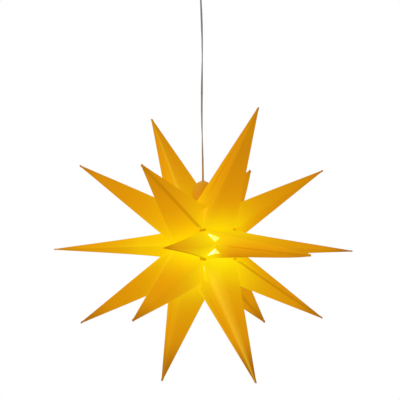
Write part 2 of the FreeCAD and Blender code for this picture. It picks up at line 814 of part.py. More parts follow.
def ceiling_hook():
    neck = hook_neck_radius()
    top = hook_shoulder_bottom()
    turn = HOOK_NECK_TURN_DEG
    bend = hook_bend_height()
    neck_arc = Part.Arc(
        Vector(0, 0, top),
        round_point(-neck, top, neck, -turn / 2),
        round_point(-neck, top, neck, -turn),
    )
    start_deg = 180 - turn
    end_deg = 360 + HOOK_TIP_DEG
    bend_arc = Part.Arc(
        round_point(0, bend, HOOK_BEND_RADIUS, start_deg),
        round_point(0, bend, HOOK_BEND_RADIUS, (start_deg + end_deg) / 2),
        round_point(0, bend, HOOK_BEND_RADIUS, end_deg),
    )
    path = Part.Wire([neck_arc.toShape(), bend_arc.toShape()])
    section = Part.Wire([Part.makeCircle(HOOK_WIRE_RADIUS, Vector(0, 0, top), UP)])
    wire = path.makePipeShell([section], True, False)
    tip = Part.makeSphere(HOOK_WIRE_RADIUS, round_point(0, bend, HOOK_BEND_RADIUS, end_deg))
    shoulder = cylinder(HOOK_SHOULDER_RADIUS, top, top + HOOK_SHOULDER_THICKNESS)
    stem = cylinder(HOOK_WIRE_RADIUS, top, 0)
    shank = cylinder(HOOK_SHANK_RADIUS, 0, HOOK_SHANK_LENGTH)
    cone_top = HOOK_SHANK_LENGTH + HOOK_SHANK_RADIUS * 2
    point = Part.makeCone(
        HOOK_SHANK_RADIUS, 0, cone_top - HOOK_SHANK_LENGTH, Vector(0, 0, HOOK_SHANK_LENGTH), UP
    )
    return wire.fuse([tip, shoulder, stem, shank, point]).removeSplitter()


def hook_collar():
    """Pressed collar that covers the hole in the ceiling."""
    low = -HOOK_COLLAR_THICKNESS
    cone = Part.makeCone(
        HOOK_SHOULDER_RADIUS + HOOK_COLLAR_RIM,
        HOOK_COLLAR_RADIUS,
        HOOK_COLLAR_THICKNESS - HOOK_COLLAR_RIM,
        Vector(0, 0, low),
        UP,
    )
    plate = cone.fuse(cylinder(HOOK_COLLAR_RADIUS, -HOOK_COLLAR_RIM, 0))
    bore = HOOK_WIRE_RADIUS + HOOK_COLLAR_FIT
    return plate.cut(cylinder(bore, low - OVERRUN, OVERRUN)).removeSplitter()


# Cord, clip and connector

def cord_path(points):
    """Straight runs joined by tangent arcs; prints each arc's radius and the length."""
    edges = []
    radii = []
    start = points[0]
    for before, corner, after in zip(points, points[1:], points[2:]):
        back = unit(before - corner)
        ahead = unit(after - corner)
        half_turn = (math.pi - back.getAngle(ahead)) / 2
        cut = CORD_ARC_SHARE * min((before - corner).Length, (after - corner).Length)
        radius = cut / math.tan(half_turn)
        radii.append(radius)
        enter = corner + back * cut
        leave = corner + ahead * cut
        inward = unit(back + ahead)
        to_centre = radius / math.cos(half_turn)
        top = corner + inward * (to_centre - radius)
        edges.append(Part.LineSegment(start, enter).toShape())
        edges.append(Part.Arc(enter, top, leave).toShape())
        start = leave
    edges.append(Part.LineSegment(start, points[-1]).toShape())
    path = Part.Wire(edges)
    print("cord arc radii:", " ".join(f"{radius:.1f}" for radius in radii))
    return path


def hanging_cord():
    points = [Vector(*point) for point in CORD_ROUTE]
    path = cord_path(points)
    section = Part.Wire([Part.makeCircle(CORD_RADIUS, points[0], points[1] - points[0])])
    tube = path.makePipeShell([section], True, False)
    expected = math.pi * CORD_RADIUS**2 * path.Length
    print(f"cord length {path.Length:.1f} mm, volume {tube.Volume:.1f} against {expected:.1f}")
    return tube


def clip_block(sign):
    """Half of the clip, on one side of the strands."""
    near = CLIP_GAP / 2
    depth = CLIP_DEPTH / 2 - near
    start_x = near if sign > 0 else -near - depth
    corner = Vector(start_x, -CLIP_WIDTH / 2, -CLIP_TOP_DROP - CLIP_HEIGHT)
    block = Part.makeBox(depth, CLIP_WIDTH, CLIP_HEIGHT, corner)
    outer_x = sign * CLIP_DEPTH / 2
    far_edges = [
        edge
        for edge in block.Edges
        if all(abs(vertex.X - outer_x) < PICK_TOLERANCE for vertex in edge.Vertexes)
    ]
    block = block.makeFillet(CLIP_EDGE_ROUND, far_edges)
    groove_radius = CORD_RADIUS + CLIP_GROOVE_CLEARANCE
    low = -CLIP_TOP_DROP - CLIP_HEIGHT - OVERRUN
    high = -CLIP_TOP_DROP + OVERRUN
    for side in (-1, 1):
        strand = side * CLIP_STRAND_SPACING / 2
        block = block.cut(cylinder(groove_radius, low, high, 0, strand))
    for place in clip_screw_places():
        radius = CLIP_SCREW_RADIUS + CLIP_SCREW_CLEARANCE
        start = Vector(-CLIP_DEPTH, place, clip_middle())
        across = Vector(1, 0, 0)
        block = block.cut(Part.makeCylinder(radius, 2 * CLIP_DEPTH, start, across))
    return block


def clip_middle():
    return -CLIP_TOP_DROP - CLIP_HEIGHT / 2


def clip_screw_places():
    return [-CLIP_SCREW_SPACING / 2, CLIP_SCREW_SPACING / 2]


def clip_screws():
    """Two small screws with slotted heads on the clip's right-hand side."""
    across = Vector(1, 0, 0)
    screws = []
    for place in clip_screw_places():
        start = Vector(-CLIP_DEPTH / 2, place, clip_middle())
        shank = Part.makeCylinder(CLIP_SCREW_RADIUS, CLIP_DEPTH, start, across)
        seat = Vector(CLIP_DEPTH / 2, place, clip_middle())
        head = Part.makeCylinder(CLIP_SCREW_HEAD_RADIUS, CLIP_SCREW_HEAD_THICKNESS, seat, across)
        slot_width = CLIP_SCREW_RADIUS / 2
        slot = Part.makeBox(
            CLIP_SCREW_HEAD_THICKNESS,
            2 * CLIP_SCREW_HEAD_RADIUS,
            slot_width,
            Vector(
                CLIP_DEPTH / 2 + CLIP_SCREW_HEAD_THICKNESS / 2,
                place - CLIP_SCREW_HEAD_RADIUS,
                clip_middle() - slot_width / 2,
            ),
        )
        screws.append(shank.fuse(head).cut(slot).removeSplitter())
    return Part.makeCompound(screws)


def connector_top():
    return Vector(*CORD_ROUTE[-1])


def connector_piece(outline):
    """A turned piece of the connector, from radius and drop pairs below the cord's end."""
    top = connector_top()
    points = [Vector(radius, 0, -drop) for radius, drop in outline]
    solid = flat_face(points).revolve(Vector(0, 0, 0), UP, 360)
    solid.translate(top)
    return solid


def connector_body():
    outline = [
        (0, 0),
        (CONNECTOR_NECK_RADIUS, 0),
        (CONNECTOR_NECK_RADIUS, CONNECTOR_NECK_LENGTH / 2),
        (CONNECTOR_RADIUS, CONNECTOR_NECK_LENGTH),
        (CONNECTOR_RADIUS, CONNECTOR_LENGTH),
        (BARREL_RADIUS, CONNECTOR_LENGTH),
        (BARREL_RADIUS, CONNECTOR_LENGTH - BARREL_SEAT_DEPTH),
        (0, CONNECTOR_LENGTH - BARREL_SEAT_DEPTH),
    ]
    return connector_piece(outline)


def connector_barrel():
    start = CONNECTOR_LENGTH - BARREL_SEAT_DEPTH
    outline = [
        (BARREL_RADIUS - BARREL_WALL, start),
        (BARREL_RADIUS, start),
        (BARREL_RADIUS, CONNECTOR_LENGTH + BARREL_LENGTH),
        (BARREL_RADIUS - BARREL_WALL, CONNECTOR_LENGTH + BARREL_LENGTH),
    ]
    return connector_piece(outline)


def connector_insulator():
    start = CONNECTOR_LENGTH - BARREL_SEAT_DEPTH
    outside = BARREL_RADIUS - BARREL_WALL
    end = CONNECTOR_LENGTH + BARREL_LENGTH
    outline = [
        (0, start),
        (outside, start),
        (outside, end),
        (INSULATOR_BORE_RADIUS, end),
        (INSULATOR_BORE_RADIUS, start + BARREL_SEAT_DEPTH),
        (0, start + BARREL_SEAT_DEPTH),
    ]
    return connector_piece(outline)


def main():
    os.makedirs("parts", exist_ok=True)
    segment = finished_segment()
    upper_room = upper_segment_room()
    for index, name in enumerate(SEGMENT_NAMES):
        piece = turned(segment, STEP_DEG * index)
        if name.startswith("segment_upper"):
            piece = piece.cut(upper_room)
        save(name, hang(piece))
    save("corner_rivets_front", hang(corner_rivets("front")))
    save("corner_rivets_back", hang(corner_rivets("back")))
    save("pole_button_front", hang(pole_button("front")))
    save("pole_button_back", hang(pole_button("back")))
    save("top_cap", hang(cap()))
    save("cord_bush", hang(cord_bush()))
    save("cord_stopper", hang(cord_stopper()))
    save("saddle_block", hang(saddle()))
    save("retaining_nut", hang(retaining_nut()))
    save("holder_tube", hang(holder_tube()))
    save("terminal_block", hang(terminal_block()))
    save("terminal_screws", hang(terminal_screws()))
    save("inner_leads", hang(inner_leads()))
    save("lamp_base", hang(lamp_base()))
    save("seal_ring", hang(seal_ring()))
    save("led_board", hang(led_board()))
    save("led_chips", hang(led_chips()))
    save("lamp_globe", hang(lamp_globe()))
    save("ceiling_hook", ceiling_hook())
    save("hook_collar", hook_collar())
    save("hanging_cord", hanging_cord())
    save("clip_front", clip_block(1))
    save("clip_back", clip_block(-1))
    save("clip_screws", clip_screws())
    save("connector_body", connector_body())
    save("connector_barrel", connector_barrel())
    save("connector_insulator", connector_insulator())


main()
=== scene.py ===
"""Looks of a hanging star lamp: eighteen hollow arms of thin translucent plastic round a lamp.

Lengths are metres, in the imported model's own frame: the origin is on the ceiling, where the
hook's collar rests, Z points up, and the star's own axis lies along Y.
"""

import logging
import math
from dataclasses import dataclass, field
from enum import Enum
from typing import Any, Callable, Iterable, Sequence

import bmesh
import bpy
from mathutils import Matrix, Vector

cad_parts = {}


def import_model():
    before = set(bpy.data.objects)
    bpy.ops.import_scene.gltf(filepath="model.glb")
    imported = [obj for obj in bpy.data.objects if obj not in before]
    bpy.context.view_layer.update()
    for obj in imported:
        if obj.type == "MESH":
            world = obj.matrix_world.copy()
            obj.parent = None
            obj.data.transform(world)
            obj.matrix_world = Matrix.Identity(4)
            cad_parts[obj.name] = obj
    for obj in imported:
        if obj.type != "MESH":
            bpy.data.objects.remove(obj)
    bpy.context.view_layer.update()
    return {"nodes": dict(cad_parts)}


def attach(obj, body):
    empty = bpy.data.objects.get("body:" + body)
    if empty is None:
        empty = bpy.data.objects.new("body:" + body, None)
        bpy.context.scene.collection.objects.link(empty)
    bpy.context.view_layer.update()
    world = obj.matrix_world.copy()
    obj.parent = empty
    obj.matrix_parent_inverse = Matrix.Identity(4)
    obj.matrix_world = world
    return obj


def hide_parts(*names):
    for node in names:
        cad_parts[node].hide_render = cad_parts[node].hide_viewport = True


LOG = logging.getLogger("star_lamp")
Colour = tuple[float, float, float]
WHITE = (1.0, 1.0, 1.0)
BLACK = (0.0, 0.0, 0.0)
RIGHTWARD = Vector((1.0, 0.0, 0.0))
UP = Vector((0.0, 0.0, 1.0))
ALONG_STAR = Vector((0.0, 1.0, 0.0))
STAR_CENTRE = Vector((0.0, 0.0, -0.564))
MM_PER_M = 1000
# Shorter lengths than this count as none, and places that differ only past these digits as one
TINY = 1e-6
PLACE_DIGITS = 6
# Faces round the round ends of a slot and round a turned shape
SLOT_SIDES = 28
TURNED_SIDES = 32


class Body(Enum):
    """The three bodies that the joints move against each other."""

    HOOK = "hook"
    CORD = "cord"
    STAR = "star"


class Mark(Enum):
    """The numbers that a segment's mesh keeps at its vertices."""

    ACROSS = "across"
    # Painted shade along one crease of each face arm, stored under the name seam
    SEAM = "seam"
    # Painted highlight along the arms' creases
    CREST = "crest"
    # Painted light added to or taken from an arm's glow
    THINNESS = "thinness"
    BROWNING = "browning"


class Cut(Enum):
    """What a closed shape does to the piece that it meets."""

    TAKE_AWAY = "DIFFERENCE"
    KEEP_INSIDE = "INTERSECT"


def tint(red: int, green: int, blue: int) -> Colour:
    """Turns a colour as a screen shows it, 0 to 255, into the numbers that a shader needs.

    Args:
        red: Red part.
        green: Green part.
        blue: Blue part.

    Returns:
        The colour with its parts from 0 to 1, in linear light.
    """

    def one(part: int) -> float:
        """Turns one part into linear light."""
        share = part / 255
        return share / 12.92 if share <= 0.04045 else ((share + 0.055) / 1.055) ** 2.4

    return one(red), one(green), one(blue)


# Shader graphs


class Channel:
    """A number socket, on which the usual operators add Math nodes."""

    def __init__(self, graph: "Graph", socket: bpy.types.NodeSocket) -> None:
        """Wraps one output socket of the graph."""
        self.graph = graph
        self.socket = socket

    def _math(self, operation: str, first: Any, second: Any = 0.0) -> "Channel":
        """Adds one Math node and returns its output."""
        node = self.graph.node("Math", {"operation": operation}, {0: first, 1: second})
        return Channel(self.graph, node.outputs[0])

    def __add__(self, other: Any) -> "Channel":
        """Sum."""
        return self._math("ADD", self, other)

    __radd__ = __add__

    def __sub__(self, other: Any) -> "Channel":
        """Difference."""
        return self._math("SUBTRACT", self, other)

    def __rsub__(self, other: Any) -> "Channel":
        """Difference, with this channel taken away."""
        return self._math("SUBTRACT", other, self)

    def __mul__(self, other: Any) -> "Channel":
        """Product."""
        return self._math("MULTIPLY", self, other)

    __rmul__ = __mul__

    def __truediv__(self, other: Any) -> "Channel":
        """Quotient."""
        return self._math("DIVIDE", self, other)

    def __rtruediv__(self, other: Any) -> "Channel":
        """Quotient, with this channel below the line."""
        return self._math("DIVIDE", other, self)

    def __abs__(self) -> "Channel":
        """Size without sign."""
        return self._math("ABSOLUTE", self)

    def sine(self) -> "Channel":
        """Sine of an angle in radians."""
        return self._math("SINE", self)

    def band(self, low: float, high: float) -> "Channel":
        """Runs from 0 at low to 1 at high, held there outside.

        Args:
            low: Value that gives 0.
            high: Value that gives 1; it may be the smaller one.

        Returns:
            The smooth share.
        """
        settings = {"interpolation_type": "SMOOTHSTEP", "clamp": True}
        node = self.graph.node("MapRange", settings, {"Value": self, "From Min": low, "From Max": high})
        return Channel(self.graph, node.outputs["Result"])


class Graph:
    """The nodes of one material or of the surroundings, with short ways to add to them."""

    def __init__(self, owner: bpy.types.Material | bpy.types.World) -> None:
        """Starts an empty set of nodes.

        Args:
            owner: The material or world that keeps them.
        """
        self.owner = owner
        owner.use_nodes = True
        self.tree = owner.node_tree
        self.tree.nodes.clear()

    def node(
        self, kind: str, settings: dict[str, Any] | None = None, inputs: dict[Any, Any] | None = None
    ) -> bpy.types.Node:
        """Adds a node.

        Args:
            kind: The node's type, without its usual first word.
            settings: Its own settings, and under "stops" a ramp's places and colours.
            inputs: Values, sockets or channels for its inputs, by name or number.

        Returns:
            The node.
        """
        made = self.tree.nodes.new("ShaderNode" + kind)
        for name, value in (settings or {}).items():
            if name == "stops":
                self._set_stops(made.color_ramp, value)
            else:
                setattr(made, name, value)
        for name, value in (inputs or {}).items():
            self.feed(made.inputs[name], value)
        return made

    @staticmethod
    def _set_stops(ramp: bpy.types.ColorRamp, stops: Sequence[tuple[float, Colour]]) -> None:
        """Gives a ramp its places and colours.

        Args:
            ramp: The ramp, with any stops.
            stops: The place and colour of each stop, in order.
        """
        while len(ramp.elements) > 1:
            ramp.elements.remove(ramp.elements[-1])
        first, *others = stops
        ramp.elements[0].position = first[0]
        ramp.elements[0].color = (*first[1], 1.0)
        for position, colour in others:
            ramp.elements.new(position).color = (*colour, 1.0)

    def feed(self, socket: bpy.types.NodeSocket, value: Any) -> None:
        """Links a socket or channel to an input, or sets the input's value.

        Args:
            socket: The input.
            value: A socket, a channel, or a value of the input's kind; a colour may lack its alpha.
        """
        if isinstance(value, Channel):
            self.tree.links.new(value.socket, socket)
        elif isinstance(value, bpy.types.NodeSocket):
            self.tree.links.new(value, socket)
        elif socket.type == "RGBA" and len(value) == 3:
            socket.default_value = (*value, 1.0)
        else:
            socket.default_value = value

    def place(self, centre: Sequence[float] = (0.0, 0.0, 0.0)) -> bpy.types.NodeSocket:
        """Object coordinates measured from a centre.

        Args:
            centre: The point that becomes their zero.

        Returns:
            The coordinates.
        """
        source = self.node("TexCoord").outputs["Object"]
        shift = [-part for part in centre]
        return self.node("Mapping", None, {"Vector": source, "Location": shift}).outputs[0]

    def noise(
        self, place: bpy.types.NodeSocket, size: float, detail: float = 2.0, rough: float = 0.5
    ) -> Channel:
        """Cloudy noise from 0 to 1.

        Args:
            place: Coordinates.
            size: How far apart its blots lie, in metres.
            detail: How many finer layers it has.
            rough: How strong the finer layers are.

        Returns:
            The noise.
        """
        inputs = {"Vector": place, "Scale": 1.0 / size, "Detail": detail, "Roughness": rough}
        return Channel(self, self.node("TexNoise", None, inputs).outputs[0])

    def attribute(self, mark: Mark) -> Channel:
        """A number stored on the mesh's vertices."""
        return Channel(self, self.node("Attribute", {"attribute_name": mark.value}).outputs["Fac"])

    def vector(self, operation: str, *values: Any) -> bpy.types.Node:
        """Adds one Vector Math node."""
        return self.node("VectorMath", {"operation": operation}, dict(enumerate(values)))

    def measure(self, operation: str, *values: Any) -> Channel:
        """A number that Vector Math works out from one vector or two."""
        return Channel(self, self.vector(operation, *values).outputs["Value"])

    def height(self, place: bpy.types.NodeSocket) -> Channel:
        """The upright part of coordinates or of a direction."""
        return Channel(self, self.node("SeparateXYZ", None, {0: place}).outputs[2])

    def mix(self, share: Any, first: Any, second: Any) -> bpy.types.NodeSocket:
        """Mixes two colours.

        Args:
            share: How much of the second.
            first: First colour.
            second: Second colour.

        Returns:
            The mixed colour.
        """
        return self.node("Mix", {"data_type": "RGBA"}, {0: share, 6: first, 7: second}).outputs[2]

    def bump(self, height: Channel, depth: float, strength: float = 1.0) -> bpy.types.NodeSocket:
        """A surface relief from a height of 0 to 1 that stands for that depth in metres."""
        inputs = {"Height": height, "Distance": depth, "Strength": strength}
        return self.node("Bump", None, inputs).outputs[0]

    def finish(self, inputs: dict[str, Any]) -> bpy.types.Material:
        """Ends the graph in one general surface shader.

        Args:
            inputs: The shader's inputs.

        Returns:
            The finished material.
        """
        shader = self.node("BsdfPrincipled", None, inputs)
        self.node("OutputMaterial", None, {"Surface": shader.outputs[0]})
        return self.owner


# Finishes


def dimmed(colour: Colour, share: float) -> Colour:
    """The same colour with only a share of its light."""
    return tuple(part * share for part in colour)


@dataclass(frozen=True)
class LitSheet:
    """Thin translucent plastic that glows by how near and how squarely it faces the lamp.

    A part says how strongly something changes the light or the colour, a start is what is there
    without it, and a band holds the values at which it begins and is complete.
    """

    name: str
    far_colour: Colour
    near_colour: Colour
    tip_colour: Colour
    glow_stops: tuple[tuple[float, Colour], ...]
    lamp: tuple[float, float, float] = (0.0, 0.0, -0.570)
    core_radius: float = 0.052
    facing_part: float = 0.35
    low_part: float = 0.12
    bright_way: tuple[float, float, float] = (0.72, -0.66, -0.2)
    bright_band: tuple[float, float] = (0.1, 0.95)
    level_band: tuple[float, float] = (0.5, 0.0)
    bright_part: float = 0.34
    near_band: tuple[float, float] = (0.15, 0.7)
    # Painted shade along one crease of each face arm: a darker colour and less glow
    crease_shade_colour: Colour = tint(196, 128, 6)
    crease_shade_band: tuple[float, float] = (0.3, 0.8)
    crease_shade_part: float = 0.45
    # Painted highlight on the creases, where a rounded crease would catch light
    painted_highlight_colour: Colour = tint(255, 206, 50)
    painted_highlight_part: float = 0.26
    tip_band: tuple[float, float] = (0.21, 0.285)
    # tip_low_part and tip_height_part make lower tips darken sooner and more: painted shade
    tip_low_part: float = 0.03
    tip_start: float = 0.60
    tip_cloud_part: float = 0.35
    tip_height_part: float = 0.22
    gloss: float = 0.0
    roughness: float = 0.56
    roughness_change: float = 0.10
    grain: float = 0.0011
    grain_depth: float = 0.00004
    grain_strength: float = 0.6
    cloud: float = 0.05
    cloud_start: float = 0.95
    cloud_part: float = 0.10
    waves_per_cloud: float = 3.0
    wave_part: float = 6.0

    def material(self) -> bpy.types.Material:
        """Builds the sheet's material.

        Returns:
            The material.
        """
        graph = Graph(bpy.data.materials.new(self.name))
        place = graph.place(self.lamp)
        distance = graph.measure("LENGTH", place)
        outward = graph.vector("NORMALIZE", place).outputs[0]
        height = graph.height(outward)
        normal = graph.node("TexCoord").outputs["Normal"]
        facing = abs(graph.measure("DOT_PRODUCT", outward, normal))
        clouds = graph.noise(place, self.cloud, detail=3.0)
        lit = self.core_radius / distance * (1 - self.facing_part + self.facing_part * facing)
        toward = graph.measure("DOT_PRODUCT", outward, self.bright_way)
        level = abs(height).band(*self.level_band) * toward.band(*self.bright_band)
        lit = lit * (1 - self.low_part * height) * (1 + self.bright_part * level)
        # Painted light set arm by arm, with more of it on one side of some arms
        lit = lit * (self.cloud_start + self.cloud_part * clouds) * (1 + graph.attribute(Mark.THINNESS))
        glow = graph.node("ValToRGB", {"stops": self.glow_stops}, {0: lit}).outputs[0]
        # Painted light in the base colour too: lighter and yellower near the lamp
        plain = graph.mix(lit.band(*self.near_band), self.far_colour, self.near_colour)
        # Tips turn brown towards their ends, as the thicker plastic there does; lower tips turn brown sooner
        # and more, which is painted shade
        tips = (distance - self.tip_low_part * height).band(*self.tip_band)
        tips = tips * (self.tip_start + self.tip_cloud_part * clouds - self.tip_height_part * height)
        tipped = graph.mix(tips * graph.attribute(Mark.BROWNING), plain, self.tip_colour)
        # Painted shade along one crease: darker base colour and weaker glow
        seam = graph.attribute(Mark.SEAM).band(*self.crease_shade_band) * self.crease_shade_part
        # Painted highlight along the creases
        crest = graph.attribute(Mark.CREST) * self.painted_highlight_part
        crease_shaded = graph.mix(seam, tipped, self.crease_shade_colour)
        fine = graph.noise(place, self.grain, detail=2.0)
        waves = graph.noise(place, self.cloud / self.waves_per_cloud, detail=1.0)
        relief = fine + waves * self.wave_part
        return graph.finish(
            {
                "Base Color": graph.mix(crest, crease_shaded, self.painted_highlight_colour),
                "Roughness": self.roughness + self.roughness_change * clouds,
                "Specular IOR Level": self.gloss,
                "Emission Color": graph.mix(seam, glow, BLACK),
                "Emission Strength": 1.0,
                "Normal": graph.bump(relief, self.grain_depth, self.grain_strength),
            }
        )


@dataclass(frozen=True)
class LitHollow:
    """The inside of the sheet, brightest at the lamp's own height."""

    name: str
    colour: Colour
    level_glow: Colour
    far_glow: Colour
    lamp_height: float = -0.571
    height_band: tuple[float, float] = (0.048, 0.024)
    roughness: float = 0.5
    roughness_change: float = 0.1
    gloss: float = 0.05
    cloud: float = 0.03
    cloud_start: float = 0.85
    cloud_part: float = 0.3

    def material(self) -> bpy.types.Material:
        """Builds the inside's material.

        Returns:
            The material.
        """
        graph = Graph(bpy.data.materials.new(self.name))
        place = graph.place((0.0, 0.0, self.lamp_height))
        clouds = graph.noise(place, self.cloud, detail=3.0)
        level = abs(graph.height(place)).band(*self.height_band)
        level = level * (self.cloud_start + self.cloud_part * clouds)
        return graph.finish(
            {
                "Base Color": self.colour,
                "Roughness": self.roughness + self.roughness_change * clouds,
                "Specular IOR Level": self.gloss,
                "Emission Color": graph.mix(level, self.far_glow, self.level_glow),
                "Emission Strength": 1.0,
            }
        )


@dataclass(frozen=True)
class MouldedPlastic:
    """Opaque moulded plastic with a faint grain and cloudiness; it may glow a little."""

    name: str
    colour: Colour
    roughness: float = 0.42
    gloss: float = 0.5
    glow: float = 0.0
    roughness_change: float = 0.12
    grain: float = 0.0008
    grain_depth: float = 0.00003
    grain_strength: float = 0.5
    cloud: float = 0.012
    cloud_part: float = 0.18
    dark_share: float = 0.62

    def material(self) -> bpy.types.Material:
        """Builds the plastic's material.

        Returns:
            The material.
        """
        graph = Graph(bpy.data.materials.new(self.name))
        place = graph.place()
        clouds = graph.noise(place, self.cloud, detail=3.0)
        fine = graph.noise(place, self.grain, detail=2.0)
        darker = dimmed(self.colour, self.dark_share)
        smoothest = self.roughness - self.roughness_change / 2
        return graph.finish(
            {
                "Base Color": graph.mix(clouds * self.cloud_part, self.colour, darker),
                "Roughness": smoothest + self.roughness_change * clouds,
                "Specular IOR Level": self.gloss,
                "Emission Color": self.colour,
                "Emission Strength": self.glow,
                "Normal": graph.bump(fine, self.grain_depth, self.grain_strength),
            }
        )


@dataclass(frozen=True)
class PlatedMetal:
    """Plated or bare metal with fine scratches and duller patches."""

    name: str
    colour: Colour
    roughness: float = 0.24
    roughness_change: float = 0.16
    scratch: float = 0.0007
    scratch_squeeze: float = 6.0
    scratch_depth: float = 0.000012
    scratch_strength: float = 0.5
    patch: float = 0.006
    patch_band: tuple[float, float] = (0.4, 0.8)
    patch_part: float = 0.5
    dark_share: float = 0.72

    def material(self) -> bpy.types.Material:
        """Builds the metal's material.

        Returns:
            The material.
        """
        graph = Graph(bpy.data.materials.new(self.name))
        place = graph.place()
        squeeze = {"Vector": place, "Scale": (1.0, 1.0, self.scratch_squeeze)}
        lines = graph.noise(graph.node("Mapping", None, squeeze).outputs[0], self.scratch, detail=1.0)
        patches = graph.noise(place, self.patch, detail=3.0, rough=0.6)
        dull = patches.band(*self.patch_band) * self.patch_part
        return graph.finish(
            {
                "Base Color": graph.mix(dull, self.colour, dimmed(self.colour, self.dark_share)),
                "Metallic": 1.0,
                "Roughness": self.roughness + self.roughness_change * patches,
                "Normal": graph.bump(lines, self.scratch_depth, self.scratch_strength),
            }
        )


@dataclass(frozen=True)
class StrandedWire:
    """Bare copper strands, twisted together, that follow the wire."""

    name: str
    colour: Colour
    pitch: float = 0.009
    strands: int = 7
    strand_relief: float = 0.00012
    roughness: float = 0.42
    roughness_change: float = 0.1
    dark_share: float = 0.6

    def material(self) -> bpy.types.Material:
        """Builds the strands' material.

        Returns:
            The material.
        """
        graph = Graph(bpy.data.materials.new(self.name))
        flow = graph.node("SeparateXYZ", None, {0: graph.node("UVMap").outputs[0]})
        around = Channel(graph, flow.outputs[0])
        along = Channel(graph, flow.outputs[1])
        turn = (around * self.strands + along * (self.strands / self.pitch)) * math.tau
        ridge = turn.sine() * 0.5 + 0.5
        return graph.finish(
            {
                # The grooves between the strands are darker: painted shade
                "Base Color": graph.mix(ridge, dimmed(self.colour, self.dark_share), self.colour),
                "Metallic": 1.0,
                "Roughness": self.roughness - self.roughness_change * ridge,
                "Normal": graph.bump(ridge, self.strand_relief),
            }
        )


@dataclass(frozen=True)
class ClearPlastic:
    """See-through plastic: its faint body shows over what is behind it, and its skin is glossy.

    Cover is how much its body hides. Near the lamp's height it gets painted light from the star: it is
    warmer there and hides more.
    """

    name: str
    colour: Colour
    dark_colour: Colour
    cover: float = 0.4
    cover_change: float = 0.12
    roughness: float = 0.10
    roughness_change: float = 0.08
    coat: float = 0.4
    cloud: float = 0.004
    dark_band: tuple[float, float] = (0.4, 0.62)
    # Painted light from the star, strongest near the lamp's height
    star_light_colour: Colour = (0.5, 0.25, 0.06)
    star_light_from: float = -0.2
    star_light_above: float = -0.405
    star_light_below: float = -0.425
    star_light_start: float = 0.35
    star_light_colour_part: float = 0.8
    star_light_cover_part: float = 0.2

    def material(self) -> bpy.types.Material:
        """Builds the clear plastic's material.

        Returns:
            The material.
        """
        graph = Graph(bpy.data.materials.new(self.name))
        place = graph.place()
        clouds = graph.noise(place, self.cloud, detail=1.0)
        dark = clouds.band(*self.dark_band)
        height = graph.height(place)
        # Painted light from the star: warmer and hiding more towards the lamp's height
        near_lamp = height.band(self.star_light_above, self.star_light_below) * (1 - self.star_light_start)
        star_light = near_lamp + height.band(self.star_light_from, self.star_light_above) * self.star_light_start
        body = graph.mix(dark, self.colour, self.dark_colour)
        return graph.finish(
            {
                "Base Color": graph.mix(star_light * self.star_light_colour_part, body, self.star_light_colour),
                "Roughness": self.roughness + self.roughness_change * clouds,
                "Alpha": self.cover + self.cover_change * dark + self.star_light_cover_part * star_light,
                "Coat Weight": self.coat,
            }
        )


@dataclass(frozen=True)
class Glowing:
    """A frosted or phosphor surface that gives light, a little more of it below than above."""

    name: str
    colour: Colour
    top_glow: Colour
    bottom_glow: Colour
    top: float
    bottom: float
    strength: float = 1.0
    roughness: float = 0.5
    roughness_change: float = 0.1
    frost: float = 0.0009
    frost_depth: float = 0.00003
    frost_strength: float = 0.6
    frost_part: float = 0.3
    dark_share: float = 0.8

    def material(self) -> bpy.types.Material:
        """Builds the glowing material.

        Returns:
            The material.
        """
        graph = Graph(bpy.data.materials.new(self.name))
        place = graph.place()
        low = graph.height(place).band(self.top, self.bottom)
        frost = graph.noise(place, self.frost, detail=2.0)
        darker = dimmed(self.colour, self.dark_share)
        return graph.finish(
            {
                "Base Color": graph.mix(frost * self.frost_part, self.colour, darker),
                "Roughness": self.roughness + self.roughness_change * frost,
                "Emission Color": graph.mix(low, self.top_glow, self.bottom_glow),
                "Emission Strength": self.strength,
                "Normal": graph.bump(frost, self.frost_depth, self.frost_strength),
            }
        )


# Mesh helpers


def number_by_place(mesh: bmesh.types.BMesh) -> None:
    """Numbers vertices, edges and faces by where they lie, so that every run cuts them alike.

    Args:
        mesh: The mesh whose parts are numbered.
    """
    order = (
        (mesh.verts, lambda vertex: tuple(round(part, PLACE_DIGITS) for part in vertex.co)),
        (mesh.edges, lambda edge: sorted(vertex.index for vertex in edge.verts)),
        (mesh.faces, lambda face: sorted(vertex.index for vertex in face.verts)),
    )
    for items, place in order:
        for number, item in enumerate(sorted(items, key=place)):
            item.index = number
        items.sort()
        items.index_update()


def new_piece(
    name: str, mesh: bmesh.types.BMesh, materials: Sequence[bpy.types.Material]
) -> bpy.types.Object:
    """Puts a finished mesh into the scene as a piece, at the origin.

    Args:
        name: The piece's name.
        mesh: Its shape, which is freed.
        materials: Its materials, in the order of their numbers on the faces.

    Returns:
        The piece.
    """
    number_by_place(mesh)
    data = bpy.data.meshes.new(name)
    for face in mesh.faces:
        face.smooth = True
    mesh.to_mesh(data)
    mesh.free()
    for material in materials:
        data.materials.append(material)
    piece = bpy.data.objects.new(name, data)
    bpy.context.scene.collection.objects.link(piece)
    return piece


def settle(piece: bpy.types.Object) -> None:
    """Makes a piece's modifiers part of its mesh.

    Args:
        piece: The piece, which keeps no modifier.
    """
    bpy.context.view_layer.update()
    graph = bpy.context.evaluated_depsgraph_get()
    data = bpy.data.meshes.new_from_object(piece.evaluated_get(graph))
    old = piece.data
    piece.modifiers.clear()
    piece.data = data
    bpy.data.meshes.remove(old)


def copied(piece: bpy.types.Object, name: str, place: Matrix) -> bpy.types.Object:
    """Copies a piece, with a mesh of its own that is moved to a place.

    Args:
        piece: The piece that is copied.
        name: The copy's name.
        place: Where its mesh goes.

    Returns:
        The copy.
    """
    other = bpy.data.objects.new(name, piece.data.copy())
    bpy.context.scene.collection.objects.link(other)
    other.data.transform(place)
    return other


